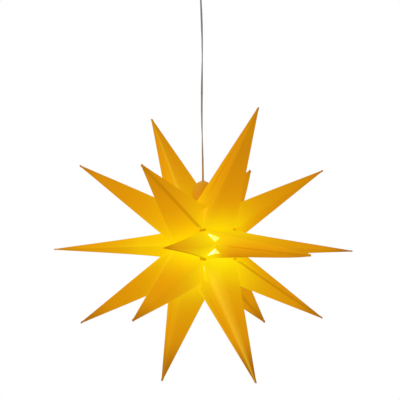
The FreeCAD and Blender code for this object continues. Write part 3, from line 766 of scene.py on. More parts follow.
def join(piece: bpy.types.Object, other: bpy.types.Object) -> None:
    """Adds another piece's mesh to a piece's.

    Args:
        piece: The piece that grows.
        other: The other piece, which is removed.
    """
    mesh = bmesh.new()
    mesh.from_mesh(piece.data)
    mesh.from_mesh(other.data)
    mesh.to_mesh(piece.data)
    mesh.free()
    bpy.data.objects.remove(other)


def carve(piece: bpy.types.Object, tool: bmesh.types.BMesh, cut: Cut, finish: int = 0) -> None:
    """Takes a closed shape away from a closed piece, or keeps only what lies inside it.

    Args:
        piece: The piece that changes.
        tool: The shape it meets, which is freed.
        cut: What the shape does.
        finish: Number of the material that the cut's faces get.
    """
    bmesh.ops.recalc_face_normals(tool, faces=tool.faces)
    for face in tool.faces:
        face.material_index = finish
    cutter = new_piece("cutter", tool, list(piece.data.materials))
    change = piece.modifiers.new("carve", "BOOLEAN")
    change.operation = cut.value
    change.solver = "EXACT"
    change.object = cutter
    settle(piece)
    data = cutter.data
    bpy.data.objects.remove(cutter)
    bpy.data.meshes.remove(data)
    mesh = bmesh.new()
    mesh.from_mesh(piece.data)
    bmesh.ops.dissolve_degenerate(mesh, dist=TINY, edges=mesh.edges)
    mesh.to_mesh(piece.data)
    mesh.free()


def crease(piece: bpy.types.Object, degrees: float) -> None:
    """Makes a smooth piece sharp where it turns by more than the angle."""
    piece.data.set_sharp_from_angle(angle=math.radians(degrees))


def made_vertices(geometry: Iterable[Any]) -> list[bmesh.types.BMVert]:
    """The vertices among what an operator returned."""
    return [item for item in geometry if isinstance(item, bmesh.types.BMVert)]


def made_ring(geometry: Iterable[Any], vertices: Iterable[bmesh.types.BMVert]) -> list[bmesh.types.BMEdge]:
    """The edges among what an operator returned that join only the given vertices.

    Args:
        geometry: What the operator returned.
        vertices: The ring's vertices.

    Returns:
        The ring's edges.
    """
    known = set(vertices)
    edges = [item for item in geometry if isinstance(item, bmesh.types.BMEdge)]
    return [edge for edge in edges if all(vertex in known for vertex in edge.verts)]


def next_ring(
    mesh: bmesh.types.BMesh, edges: list[bmesh.types.BMEdge]
) -> tuple[list[bmesh.types.BMVert], list[bmesh.types.BMEdge]]:
    """Draws a ring of edges out into a new one, which stays where it is until it is moved.

    Args:
        mesh: The mesh.
        edges: The ring's edges.

    Returns:
        The new ring's vertices and edges.
    """
    made = bmesh.ops.extrude_edge_only(mesh, edges=edges)["geom"]
    ring = made_vertices(made)
    return ring, made_ring(made, ring)


def neighbours(items: Sequence[Any]) -> Iterable[tuple[Any, Any]]:
    """Each item with the one after it, and the last with the first."""
    return zip(items, [*items[1:], items[0]])


def frame_of(origin: Vector, across: Vector, ahead: Vector, out: Vector) -> Matrix:
    """The matrix that takes X, Y and Z to three directions about an origin."""
    turn = Matrix((across, ahead, out)).transposed().to_4x4()
    return Matrix.Translation(origin) @ turn


def prism(mesh: bmesh.types.BMesh, outline: Sequence[Vector], reach: Vector) -> None:
    """Adds a closed prism from a flat outline.

    Args:
        mesh: The mesh that it is added to.
        outline: The corners of its first end.
        reach: The way from its first end to the other.
    """
    corners = [mesh.verts.new(point) for point in outline]
    face = mesh.faces.new(corners)
    made = bmesh.ops.extrude_face_region(mesh, geom=[face], use_keep_orig=True)["geom"]
    bmesh.ops.translate(mesh, verts=made_vertices(made), vec=reach)


def slot_block(
    mesh: bmesh.types.BMesh, place: Matrix, width: float, length: float, low: float, high: float
) -> None:
    """Adds a closed block with straight sides and round ends; equal sizes make it a cylinder.

    Args:
        mesh: The mesh that it is added to.
        place: Its frame, with X along its length and Z through it.
        width: Its width.
        length: Its length.
        low: Where it begins along Z.
        high: Where it ends along Z.
    """
    ring = bmesh.ops.create_circle(mesh, cap_ends=True, segments=SLOT_SIDES, radius=width / 2)["verts"]
    stretch = (length - width) / 2
    for vertex in ring:
        if abs(vertex.co.x) > TINY:
            vertex.co.x += math.copysign(stretch, vertex.co.x)
        vertex.co.z = low
    face = ring[0].link_faces[0]
    made = bmesh.ops.extrude_face_region(mesh, geom=[face], use_keep_orig=True)["geom"]
    top = made_vertices(made)
    bmesh.ops.translate(mesh, verts=top, vec=(0.0, 0.0, high - low))
    bmesh.ops.transform(mesh, matrix=place, verts=ring + top)


def lathe(
    mesh: bmesh.types.BMesh,
    outline: Sequence[tuple[float, float]],
    place: Matrix,
    steps: int = TURNED_SIDES,
) -> None:
    """Adds a closed turned shape.

    Args:
        mesh: The mesh that it is added to.
        outline: Radius and height of each corner, from the axis at one end to the axis at the other.
        place: Its frame, with Z along its axis.
        steps: Faces round it.
    """
    line = [mesh.verts.new((radius, 0.0, height)) for radius, height in outline]
    edges = [mesh.edges.new(pair) for pair in zip(line, line[1:])]
    before = set(mesh.verts) - set(line)
    bmesh.ops.spin(
        mesh, geom=line + edges, cent=(0.0, 0.0, 0.0), axis=UP, dvec=(0.0, 0.0, 0.0),
        angle=math.tau, steps=steps, use_merge=True, use_normal_flip=False, use_duplicate=False,
    )
    mine = [vertex for vertex in mesh.verts if vertex not in before]
    bmesh.ops.remove_doubles(mesh, verts=mine, dist=TINY)
    mine = [vertex for vertex in mesh.verts if vertex not in before]
    bmesh.ops.transform(mesh, matrix=place, verts=mine)


@dataclass
class Sweep:
    """A profile drawn along a line of points, its width turned to a wanted side at each."""

    points: list[Vector]
    side: Callable[[float], Vector]
    offset: float = 0.0
    dome_angles: tuple[float, ...] = (30.0, 60.0, 80.0)

    def _frames(self) -> list[tuple[Matrix, float]]:
        """Works out where the profile stands at each point.

        Returns:
            The profile's frame at each point, and the length run so far.
        """
        frames = []
        run = 0.0
        for index, point in enumerate(self.points):
            before = self.points[max(index - 1, 0)]
            after = self.points[min(index + 1, len(self.points) - 1)]
            run += (point - before).length
            tangent = (after - before).normalized()
            wanted = self.side(point.z)
            across = (wanted - tangent * wanted.dot(tangent)).normalized()
            ahead = tangent.cross(across)
            frames.append((frame_of(point + across * self.offset, across, ahead, tangent), run))
        return frames

    def tube(self, profile: Sequence[tuple[float, float]], dome: float = 0.0) -> bmesh.types.BMesh:
        """Draws the profile along the line and closes both ends.

        Args:
            profile: The outline's points, across and ahead of the line.
            dome: Radius of a round far end, or zero for a flat one.

        Returns:
            The tube, with a UV map that runs round it and along it in metres.
        """
        mesh = bmesh.new()
        along = mesh.verts.layers.float.new("along")
        around = mesh.verts.layers.float.new("around")
        frames = self._frames()
        here = frames[0][0]
        ring = [mesh.verts.new(here @ Vector((x, y, 0.0))) for x, y in profile]
        for index, vertex in enumerate(ring):
            vertex[around] = index / len(ring)
        edges = [mesh.edges.new(pair) for pair in neighbours(ring)]
        bmesh.ops.contextual_create(mesh, geom=edges)
        for after, run in frames[1:]:
            ring, edges = next_ring(mesh, edges)
            bmesh.ops.transform(mesh, matrix=after @ here.inverted(), verts=ring)
            for vertex in ring:
                vertex[along] = run
            here = after
        if dome:
            edges = self._round_end(mesh, edges, here, dome)
        bmesh.ops.contextual_create(mesh, geom=edges)
        bmesh.ops.recalc_face_normals(mesh, faces=mesh.faces)
        self._unwrap(mesh, along, around)
        return mesh

    def _round_end(
        self, mesh: bmesh.types.BMesh, edges: list[bmesh.types.BMEdge], here: Matrix, radius: float
    ) -> list[bmesh.types.BMEdge]:
        """Draws the last ring on into a round end.

        Args:
            mesh: The tube's mesh.
            edges: Edges of its last ring.
            here: That ring's frame.
            radius: Radius of the round end.

        Returns:
            Edges of the small ring that is left to close.
        """
        for degrees in self.dome_angles:
            angle = math.radians(degrees)
            rise = here @ Matrix.Translation((0.0, 0.0, radius * math.sin(angle)))
            ring, edges = next_ring(mesh, edges)
            middle = sum((vertex.co for vertex in ring), Vector()) / len(ring)
            spread = sum((vertex.co - middle).length for vertex in ring) / len(ring)
            size = math.cos(angle) * radius / spread
            bmesh.ops.translate(mesh, verts=ring, vec=rise.translation - middle)
            about = Matrix.Translation(-rise.translation)
            bmesh.ops.scale(mesh, verts=ring, vec=(size, size, size), space=about)
        return edges

    @staticmethod
    def _unwrap(mesh: bmesh.types.BMesh, along: Any, around: Any) -> None:
        """Writes the UV map, without letting the last strip run back round the tube.

        Args:
            mesh: The tube's mesh.
            along: The layer that holds the length run at each vertex.
            around: The layer that holds each vertex's share of the way round.
        """
        layer = mesh.loops.layers.uv.new("UVMap")
        for face in mesh.faces:
            turns = [loop.vert[around] for loop in face.loops]
            wraps = max(turns) - min(turns) > 0.5
            for loop, turn in zip(face.loops, turns):
                whole = turn + 1.0 if wraps and turn < 0.5 else turn
                loop[layer].uv = (whole, loop.vert[along])


def circle_profile(radius: float, sides: int) -> list[tuple[float, float]]:
    """Points of a round profile."""
    angles = [math.tau * index / sides for index in range(sides)]
    return [(radius * math.cos(angle), radius * math.sin(angle)) for angle in angles]


def place_piece(piece: bpy.types.Object, body: Body, slot: str, *nodes: str) -> bpy.types.Object:
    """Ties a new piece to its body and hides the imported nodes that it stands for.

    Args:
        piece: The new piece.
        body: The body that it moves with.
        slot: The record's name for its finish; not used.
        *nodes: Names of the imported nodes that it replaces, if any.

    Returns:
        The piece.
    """
    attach(piece, body.value)
    if nodes:
        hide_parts(*nodes)
    LOG.info("%s: %d faces", piece.name, len(piece.data.polygons))
    return piece


def dress(nodes: dict[str, bpy.types.Object], name: str, material: bpy.types.Material) -> None:
    """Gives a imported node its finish.

    Args:
        nodes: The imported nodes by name.
        name: The node's name.
        material: Its new material.
    """
    node = nodes[name]
    if not node.material_slots:
        node.data.materials.append(material)
    for place in node.material_slots:
        place.material = material
    LOG.info("%s dressed in %s", name, material.name)


# The star's shells


class Arm(Enum):
    """The three arms of a segment."""

    FRONT = "front"
    RIM = "rim"
    BACK = "back"


class Corner(Enum):
    """The eight core corners of a segment that its arms stand on."""

    POLE_FRONT = "pole front"
    POLE_BACK = "pole back"
    UPPER_FRONT = "upper front"
    UPPER_BACK = "upper back"
    LOWER_FRONT = "lower front"
    LOWER_BACK = "lower back"
    RIDGE_FRONT = "ridge front"
    RIDGE_BACK = "ridge back"


ARM_BASES = {
    Arm.FRONT: (Corner.POLE_FRONT, Corner.UPPER_FRONT, Corner.RIDGE_FRONT, Corner.LOWER_FRONT),
    Arm.RIM: (
        Corner.UPPER_FRONT, Corner.UPPER_BACK, Corner.RIDGE_BACK,
        Corner.LOWER_BACK, Corner.LOWER_FRONT, Corner.RIDGE_FRONT,
    ),
    Arm.BACK: (Corner.POLE_BACK, Corner.UPPER_BACK, Corner.RIDGE_BACK, Corner.LOWER_BACK),
}
SEAM_LINES = (
    (Corner.POLE_FRONT, Corner.UPPER_FRONT, Corner.UPPER_BACK, Corner.POLE_BACK),
    (Corner.POLE_FRONT, Corner.LOWER_FRONT, Corner.LOWER_BACK, Corner.POLE_BACK),
)
SEATED_CORNERS = (
    Corner.UPPER_FRONT, Corner.UPPER_BACK, Corner.LOWER_FRONT, Corner.LOWER_BACK,
    Corner.POLE_FRONT, Corner.POLE_BACK,
)
POLES = (Corner.POLE_FRONT, Corner.POLE_BACK)
Corners = dict[Corner, bmesh.types.BMVert]
Chains = dict[tuple[Corner, Corner], list[bmesh.types.BMVert]]
# The corner from which each face arm's painted crease shade runs to its tip
SHADED_CREASE_FEET = {Arm.FRONT: Corner.LOWER_FRONT, Arm.BACK: Corner.UPPER_BACK}


@dataclass(frozen=True)
class StarForm:
    """Places of the star's corners and tips, about its own centre."""

    segment_count: int = 6
    rim_reach: float = 0.280
    face_reach: float = 0.269
    face_polar_deg: float = 36.9
    pole_axial: float = 0.069
    corner_axial: float = 0.038
    corner_radial: float = 0.050
    ridge_radial: float = 0.083

    def point(self, axial: float, radial: float, degrees: float) -> Vector:
        """A point given along the star's axis, out from it and round it from the right."""
        angle = math.radians(degrees)
        return Vector((radial * math.cos(angle), axial, radial * math.sin(angle)))

    def corner(self, corner: Corner) -> Vector:
        """A core corner of the segment that points to the right.

        Args:
            corner: Which corner.

        Returns:
            Its place.
        """
        kind, side = corner.value.split()
        sign = -1.0 if side == "front" else 1.0
        half_step = 180.0 / self.segment_count
        if kind == "pole":
            return self.point(sign * self.pole_axial, 0.0, 0.0)
        if kind == "ridge":
            return self.point(sign * self.corner_axial, self.ridge_radial, 0.0)
        turn = half_step if kind == "upper" else -half_step
        return self.point(sign * self.corner_axial, self.corner_radial, turn)

    def tip(self, arm: Arm) -> Vector:
        """The tip of an arm of the segment that points to the right.

        Args:
            arm: Which arm.

        Returns:
            Its place.
        """
        if arm is Arm.RIM:
            return self.point(0.0, self.rim_reach, 0.0)
        polar = math.radians(self.face_polar_deg)
        sign = -1.0 if arm is Arm.FRONT else 1.0
        return self.point(
            sign * self.face_reach * math.cos(polar), self.face_reach * math.sin(polar), 0.0
        )

    def base_middle(self, arm: Arm) -> Vector:
        """The middle of the corners that an arm stands on."""
        corners = [self.corner(corner) for corner in ARM_BASES[arm]]
        return sum(corners, Vector()) / len(corners)

    def segment_turn(self, index: int) -> Matrix:
        """Turns the right-hand segment to its place round the star."""
        return Matrix.Rotation(-math.tau * index / self.segment_count, 4, ALONG_STAR)


def bowed(most: float, share: float) -> float:
    """What a bow adds at a share of its length: nothing at its ends and the most in its middle."""
    return most * 4 * share * (1 - share)


@dataclass(frozen=True)
class ArmHabit:
    """What sets one arm apart from an even one.

    Its tip's bend is in millimetres to the picture's right and up. Thin is how much painted light
    its sheet gets beyond the even glow, and shade how much more of it on the segment's upper side.
    Painted highlight and seam are how strongly the painted highlights on its creases and the painted
    shade along one crease show, reach is how far the highlights spread, as a share of its half
    width, browning is how strongly its tip darkens, and swell is how much wider it is at its tip.
    """

    right: float = 0.0
    up: float = 0.0
    # thin is painted light added to this arm's glow, and shade moves more of it to the upper side
    thin: float = 0.0
    shade: float = 0.0
    crest: float = 1.0
    reach: float = 0.12
    # seam is the strength of the painted shade along one crease
    seam: float = 1.0
    browning: float = 1.0
    swell: float = 0.0


@dataclass
class StarShell:
    """The six segments of thin sheet, each with a front, a rim and a back arm."""

    form: StarForm = field(default_factory=StarForm)
    names: tuple[str, ...] = (
        "segment_right", "segment_upper_right", "segment_upper_left",
        "segment_left", "segment_lower_left", "segment_lower_right",
    )
    wall: float = 0.0007
    seam_gap: float = 0.0001
    lip_depth: float = 0.006
    column_shares: tuple[float, ...] = (0.05, 0.16, 0.5, 0.84, 0.95)
    ring_shares: tuple[float, ...] = (0.02, 0.07, 0.16, 0.28, 0.41, 0.54, 0.66, 0.77, 0.86, 0.93, 0.97)
    bow: float = 0.012
    pillow: float = 0.03
    ridge_round: float = 0.045
    full_relief_share: float = 0.12
    crease_shade_reach: float = 0.0065
    highlight_margin: float = 0.0001
    full_highlight_share: float = 0.1
    half_width: float = 0.025
    least_width_share: float = 0.04
    full_painted_glow_share: float = 0.25
    bend_power: float = 1.1
    swell_power: int = 3
    crease_deg: float = 50.0
    tip_radius: float = 0.0024
    tip_beyond: float = 0.0052
    face_squeeze: float = 0.095
    face_spread: float = 0.02
    tip_angles: tuple[float, ...] = (35.0, 65.0)
    seat_depth: float = 0.0015
    seat_floor: float = 0.0012
    cup_scale: float = 0.995
    seat_reach: float = 0.014
    head_length: float = 0.0115
    head_width: float = 0.0052
    pole_head_radius: float = 0.006
    head_clearance: float = 0.0003
    shank_hole_radius: float = 0.00195
    shank_hole_sides: int = 20
    clinch_room_radius: float = 0.0042
    opening_margin: float = 0.0015
    opening_ridge_share: float = 0.2
    opening_corner_share: float = 0.74
    opening_far_ridge_share: float = 0.36
    opening_far_tip_share: float = 0.116
    opening_reach_walls: float = 6.0
    cap_hole_radius: float = 0.012
    cap_hole_top: float = 0.115
    saddle_room_radius: float = 0.0191
    room_below_walls: float = 3.0
    lip_room_walls: float = 1.6

    def _width(self, arm: Arm, share: float) -> float:
        """Width of an arm against its base.

        Args:
            arm: Which arm.
            share: Share of the arm's length.

        Returns:
            The width as a share of the base's.
        """
        length = (self.form.tip(arm) - self.form.base_middle(arm)).length
        beyond = self.tip_beyond / length
        straight = (1 + beyond - share) / (1 + beyond)
        return straight * (1 + bowed(self.bow, share))

    def _rings(self, arm: Arm) -> list[tuple[float, float]]:
        """Lays out the rings of an arm's skin, with its rounded tip.

        Args:
            arm: Which arm.

        Returns:
            Share along the arm and width of each ring.
        """
        middle = self.form.base_middle(arm)
        length = (self.form.tip(arm) - middle).length
        corners = [self.form.corner(corner) for corner in ARM_BASES[arm]]
        base_radius = sum((corner - middle).length for corner in corners) / len(corners)
        rings = [(share, self._width(arm, share)) for share in self.ring_shares]
        for degrees in self.tip_angles:
            angle = math.radians(degrees)
            share = 1 - self.tip_radius * (1 - math.sin(angle)) / length
            rings.append((share, self.tip_radius * math.cos(angle) / base_radius))
        return rings

    def _skin(self) -> tuple[bmesh.types.BMesh, Corners, Chains]:
        """Draws the open outer skin of the right-hand segment.

        Returns:
            The mesh, its corner vertices, and the chains of vertices between corners.
        """
        mesh = bmesh.new()
        for mark in Mark:
            mesh.verts.layers.float.new(mark.value)
        across = mesh.verts.layers.float[Mark.ACROSS.value]
        corners = {corner: mesh.verts.new(self.form.corner(corner)) for corner in Corner}
        chains: Chains = {}
        for arm, base in ARM_BASES.items():
            for first, second in neighbours(base):
                if (first, second) in chains:
                    continue
                start, end = corners[first].co, corners[second].co
                chain = [corners[first]]
                for share in self.column_shares:
                    vertex = mesh.verts.new(start.lerp(end, share))
                    vertex[across] = share
                    chain.append(vertex)
                chain.append(corners[second])
                chains[first, second] = chain
                chains[second, first] = chain[::-1]
                for pair in zip(chain, chain[1:]):
                    mesh.edges.new(pair)
        for arm in Arm:
            self._grow_arm(mesh, arm, chains)
        bmesh.ops.recalc_face_normals(mesh, faces=mesh.faces)
        return mesh, corners, chains

    def _grow_arm(self, mesh: bmesh.types.BMesh, arm: Arm, chains: Chains) -> None:
        """Draws one arm out from its base, ring by ring, to a rounded tip.

        Args:
            mesh: The segment's mesh.
            arm: Which arm.
            chains: The vertices between each two corners.
        """
        loop = []
        for first, second in neighbours(ARM_BASES[arm]):
            loop.extend(chains[first, second][:-1])
        edges = [mesh.edges.get(pair) for pair in neighbours(loop)]
        middle, tip = self.form.base_middle(arm), self.form.tip(arm)
        widest = max(abs(vertex.co.z) for vertex in loop)
        rings = []
        here, width = middle, 1.0
        for share, wanted in self._rings(arm):
            there = middle.lerp(tip, share)
            ring, edges = next_ring(mesh, edges)
            step = Matrix.Translation(there) @ Matrix.Scale(wanted / width, 4) @ Matrix.Translation(-here)
            bmesh.ops.transform(mesh, matrix=step, verts=ring)
            rings.append((ring, there, share))
            here, width = there, wanted
        made = bmesh.ops.extrude_edge_only(mesh, edges=edges)["geom"]
        bmesh.ops.pointmerge(mesh, verts=made_vertices(made), merge_co=tip)
        for ring, there, share in rings:
            self._mark_ring(mesh, arm, ring, widest * (1 - share) + self.highlight_margin)
            self._round_ring(mesh, arm, ring, there, share)

    def _mark_ring(
        self, mesh: bmesh.types.BMesh, arm: Arm, ring: list[bmesh.types.BMVert], widest: float
    ) -> None:
        """Stores where an arm's painted crease shade and painted crease highlights run.

        Args:
            mesh: The segment's mesh.
            arm: Which arm.
            ring: One ring of the arm's skin, still even.
            widest: How far the ring reaches above and below its middle.
        """
        marks = mesh.verts.layers.float
        across, seam, crest = (marks[mark.value] for mark in (Mark.ACROSS, Mark.SEAM, Mark.CREST))
        for vertex in ring:
            # Painted shade along the crease from that corner to the tip
            if arm in SHADED_CREASE_FEET:
                foot = self.form.corner(SHADED_CREASE_FEET[arm])
                line = (self.form.tip(arm) - foot).normalized()
                away = vertex.co - foot
                vertex[seam] = max(0.0, 1 - (away - line * away.dot(line)).length / self.crease_shade_reach)
            aside = min(1.0, abs(vertex.co.z) / widest)
            near_crease = 1 - 2 * min(vertex[across], 1 - vertex[across])
            # Painted highlights on the creases; on the rim arm only on its front side
            if arm is Arm.RIM:
                vertex[crest] = near_crease * aside if vertex.co.y < 0 else 0.0
            else:
                vertex[crest] = near_crease * (1 - aside)

    def _round_ring(
        self, mesh: bmesh.types.BMesh, arm: Arm, ring: list[bmesh.types.BMVert], middle: Vector, share: float
    ) -> None:
        """Pillows the sheets between the creases, rounds the creases and narrows the face arms.

        Args:
            mesh: The segment's mesh.
            arm: Which arm.
            ring: One ring of the arm's skin.
            middle: The ring's middle.
            share: The ring's share of the arm's length.
        """
        across = mesh.verts.layers.float[Mark.ACROSS.value]
        strength = min(1.0, share / self.full_relief_share)
        belly = bowed(1.0, share)
        for vertex in ring:
            part = vertex[across]
            swell = bowed(self.pillow, part) if part > 0 else -self.ridge_round
            vertex.co = middle + (vertex.co - middle) * (1 + swell * strength)
            if arm is not Arm.RIM:
                vertex.co.z *= 1 - self.face_squeeze * belly
                vertex.co.x = middle.x + (vertex.co.x - middle.x) * (1 + self.face_spread * belly)

    def _outer_solid(self, mesh: bmesh.types.BMesh, corners: Corners, chains: Chains) -> None:
        """Closes a copy of the skin with its two flat seams.

        Args:
            mesh: The copy, whose vertices are numbered as the skin's.
            corners: The skin's corner vertices.
            chains: The skin's vertices between each two corners.
        """
        for seam in SEAM_LINES:
            outline = [corners[seam[0]].index]
            for first, second in zip(seam, seam[1:]):
                outline.extend(vertex.index for vertex in chains[first, second][1:])
            mesh.faces.new([mesh.verts[index] for index in outline])
        bmesh.ops.recalc_face_normals(mesh, faces=mesh.faces)

    def _seat_frame(self, corner: Corner) -> Matrix:
        """Lays out a fastener's seat.

        Args:
            corner: The core corner that it lies on.

        Returns:
            Its frame, with X along its length and Z outwards.
        """
        place = self.form.corner(corner)
        out = place.normalized()
        if corner in POLES:
            return frame_of(place, RIGHTWARD, out.cross(RIGHTWARD), out)
        across = (ALONG_STAR - out * ALONG_STAR.dot(out)).normalized()
        return frame_of(place, across, out.cross(across), out)

    def _seat_blocks(self, grow: float, low: float) -> bmesh.types.BMesh:
        """Makes a block over each fastener's seat.

        Args:
            grow: How much wider than the fastener's head it is on every side.
            low: Where it begins, against the corner.

        Returns:
            The blocks in one mesh.
        """
        mesh = bmesh.new()
        for corner in SEATED_CORNERS:
            round_head = corner in POLES
            width = (2 * self.pole_head_radius if round_head else self.head_width) + 2 * grow
            length = width if round_head else self.head_length + 2 * grow
            slot_block(mesh, self._seat_frame(corner), width, length, low, self.seat_reach)
        return mesh

    def _shank_holes(self) -> bmesh.types.BMesh:
        """Makes the holes for the fasteners' shanks, with room for their spread ends inside.

        Returns:
            The holes in one mesh.
        """
        under = -self.seat_depth - self.seat_floor
        outline = (
            (0.0, self.seat_reach), (self.shank_hole_radius, self.seat_reach),
            (self.shank_hole_radius, under), (self.clinch_room_radius, under),
            (self.clinch_room_radius, under - 2 * self.lip_depth), (0.0, under - 2 * self.lip_depth),
        )
        mesh = bmesh.new()
        for corner in SEATED_CORNERS:
            lathe(mesh, outline, self._seat_frame(corner), self.shank_hole_sides)
        return mesh

    def _light_openings(self) -> bmesh.types.BMesh:
        """Makes the four three-cornered openings beside the creases of the rim arm.

        Returns:
            The openings in one mesh.
        """
        mesh = bmesh.new()
        tip = self.form.tip(Arm.RIM)
        for ridge_key, corner_key in (
            (Corner.RIDGE_FRONT, Corner.UPPER_FRONT), (Corner.RIDGE_FRONT, Corner.LOWER_FRONT),
            (Corner.RIDGE_BACK, Corner.UPPER_BACK), (Corner.RIDGE_BACK, Corner.LOWER_BACK),
        ):
            ridge, corner = self.form.corner(ridge_key), self.form.corner(corner_key)
            out = (corner - ridge).cross(tip - ridge).normalized()
            line = (corner - ridge).normalized()
            inward = ((tip - ridge) - line * line.dot(tip - ridge)).normalized() * self.opening_margin
            far = (
                corner
                + (ridge - corner) * self.opening_far_ridge_share
                + (tip - corner) * self.opening_far_tip_share
            )
            near_ridge = ridge.lerp(corner, self.opening_ridge_share) + inward
            near_corner = ridge.lerp(corner, self.opening_corner_share) + inward
            reach = out * (self.opening_reach_walls * self.wall)
            prism(mesh, [point - reach for point in (near_ridge, near_corner, far)], reach * 2)
        return mesh

    def _right_segment(
        self, sheet: Sequence[bpy.types.Material]
    ) -> tuple[bpy.types.Object, bpy.types.Object]:
        """Makes the right-hand segment about the star's centre.

        Args:
            sheet: Materials of the sheet's outside, its inside and its seats.

        Returns:
            The segment's sheet, and the cups that its fasteners lie in.
        """
        mesh, corners, chains = self._skin()
        mesh.verts.index_update()
        solid = mesh.copy()
        solid.verts.ensure_lookup_table()
        self._outer_solid(solid, corners, chains)
        edges = [edge for edge in mesh.edges if len(edge.link_faces) == 1]
        made = bmesh.ops.extrude_edge_only(mesh, edges=edges)["geom"]
        for vertex in made_vertices(made):
            vertex.co -= vertex.co.normalized() * self.lip_depth
        bmesh.ops.recalc_face_normals(mesh, faces=mesh.faces)
        piece = new_piece("segment", mesh, sheet)
        thick = piece.modifiers.new("wall", "SOLIDIFY")
        thick.thickness = self.wall
        thick.offset = -1.0
        thick.material_offset = 1
        thick.material_offset_rim = 1
        settle(piece)
        blocks = self._seat_blocks(self.head_clearance + self.wall, -self.seat_depth - self.seat_floor)
        cups = new_piece("cups", blocks, sheet)
        bmesh.ops.scale(solid, vec=(self.cup_scale,) * 3, verts=solid.verts)
        carve(cups, solid, Cut.KEEP_INSIDE)
        carve(piece, self._light_openings(), Cut.TAKE_AWAY, 1)
        for part in (piece, cups):
            carve(part, self._seat_blocks(self.head_clearance, -self.seat_depth), Cut.TAKE_AWAY, 2)
            carve(part, self._shank_holes(), Cut.TAKE_AWAY, 2)
        return piece, cups

    def _cap_room(self, piece: bpy.types.Object) -> None:
        """Cuts an upper segment for the holder tube and the saddle.

        Args:
            piece: The segment's sheet, turned to its place about the star's centre.
        """
        valley = self.form.corner_radial
        low = valley - self.lip_depth - self.wall * self.room_below_walls
        hole = bmesh.new()
        size = 2 * self.cap_hole_radius
        slot_block(hole, Matrix.Identity(4), size, size, low, self.cap_hole_top)
        carve(piece, hole, Cut.TAKE_AWAY)
        lips = bmesh.new()
        half = self.wall * self.lip_room_walls
        room = self.saddle_room_radius
        outline = [
            Vector((-half, -room, low)), Vector((half, -room, low)),
            Vector((half, room, low)), Vector((-half, room, low)),
        ]
        prism(lips, outline, UP * (valley - half - low))
        carve(piece, lips, Cut.TAKE_AWAY)

    def build(
        self,
        sheet: Sequence[bpy.types.Material],
        habits: dict[tuple[str, Arm], ArmHabit],
        sideways: Vector,
    ) -> list[bpy.types.Object]:
        """Makes the six segments.

        Args:
            sheet: Materials of the sheet's outside, its inside and its seats.
            habits: What sets the arms apart, by segment and arm.
            sideways: The picture's right, along which the arms bend.

        Returns:
            The segments.
        """
        masters = self._right_segment(sheet)
        gap = self.seam_gap / 2 / math.sin(math.pi / self.form.segment_count)
        pieces = []
        for index, name in enumerate(self.names):
            turn = self.form.segment_turn(index)
            place = turn @ Matrix.Translation((gap, 0.0, 0.0))
            piece, cups = (copied(master, name + "_shell", place) for master in masters)
            if name.startswith("segment_upper"):
                self._cap_room(piece)
            join(piece, cups)
            own = {arm: habits.get((name, arm), ArmHabit()) for arm in Arm}
            self._wear(piece.data, turn, own, sideways)
            piece.data.transform(Matrix.Translation(STAR_CENTRE))
            piece.data.name = piece.name
            crease(piece, self.crease_deg)
            pieces.append(place_piece(piece, Body.STAR, "shell_yellow", name))
        for master in masters:
            bpy.data.objects.remove(master)
        return pieces

    def _wear(
        self, mesh: bpy.types.Mesh, turn: Matrix, habits: dict[Arm, ArmHabit], sideways: Vector
    ) -> None:
        """Bends and swells each arm from root to tip, and stores its painted light, highlights and shade.

        Args:
            mesh: The segment's mesh, about the star's centre.
            turn: The turn from the right-hand segment to this one.
            habits: What sets its arms apart.
            sideways: The picture's right.
        """
        axes = {arm: (turn @ self.form.base_middle(arm), turn @ self.form.tip(arm)) for arm in Arm}
        stored = {mark: mesh.attributes[mark.value].data for mark in Mark}
        for vertex in mesh.vertices:
            out = vertex.co.normalized()
            arm = max(axes, key=lambda one: out.dot(axes[one][1].normalized()))
            habit = habits[arm]
            middle, tip = axes[arm]
            line = tip - middle
            share = max(0.0, (vertex.co - middle).dot(line) / line.length_squared)
            centre = middle + line * share
            # Painted highlight, faded in from the root and spread by the arm's reach
            crest = stored[Mark.CREST][vertex.index]
            from_root = min(1.0, share / self.full_highlight_share)
            crest.value = habit.crest * from_root * max(0.0, 1 - (1 - crest.value) / habit.reach)
            # Painted crease shade, scaled for this arm
            stored[Mark.SEAM][vertex.index].value *= habit.seam
            stored[Mark.BROWNING][vertex.index].value = habit.browning
            half_width = self.half_width * max(1 - share, self.least_width_share)
            aside = (vertex.co - centre).dot(turn @ UP) / half_width
            # Painted light for this arm, with more of it on the segment's upper side
            thin = habit.thin + habit.shade * max(-1.0, min(1.0, aside))
            from_root = min(1.0, share / self.full_painted_glow_share)
            stored[Mark.THINNESS][vertex.index].value = thin * from_root
            bend = (sideways * habit.right + UP * habit.up) / MM_PER_M * share**self.bend_power
            vertex.co += (vertex.co - centre) * (habit.swell * share**self.swell_power) + bend


# Cord and hook


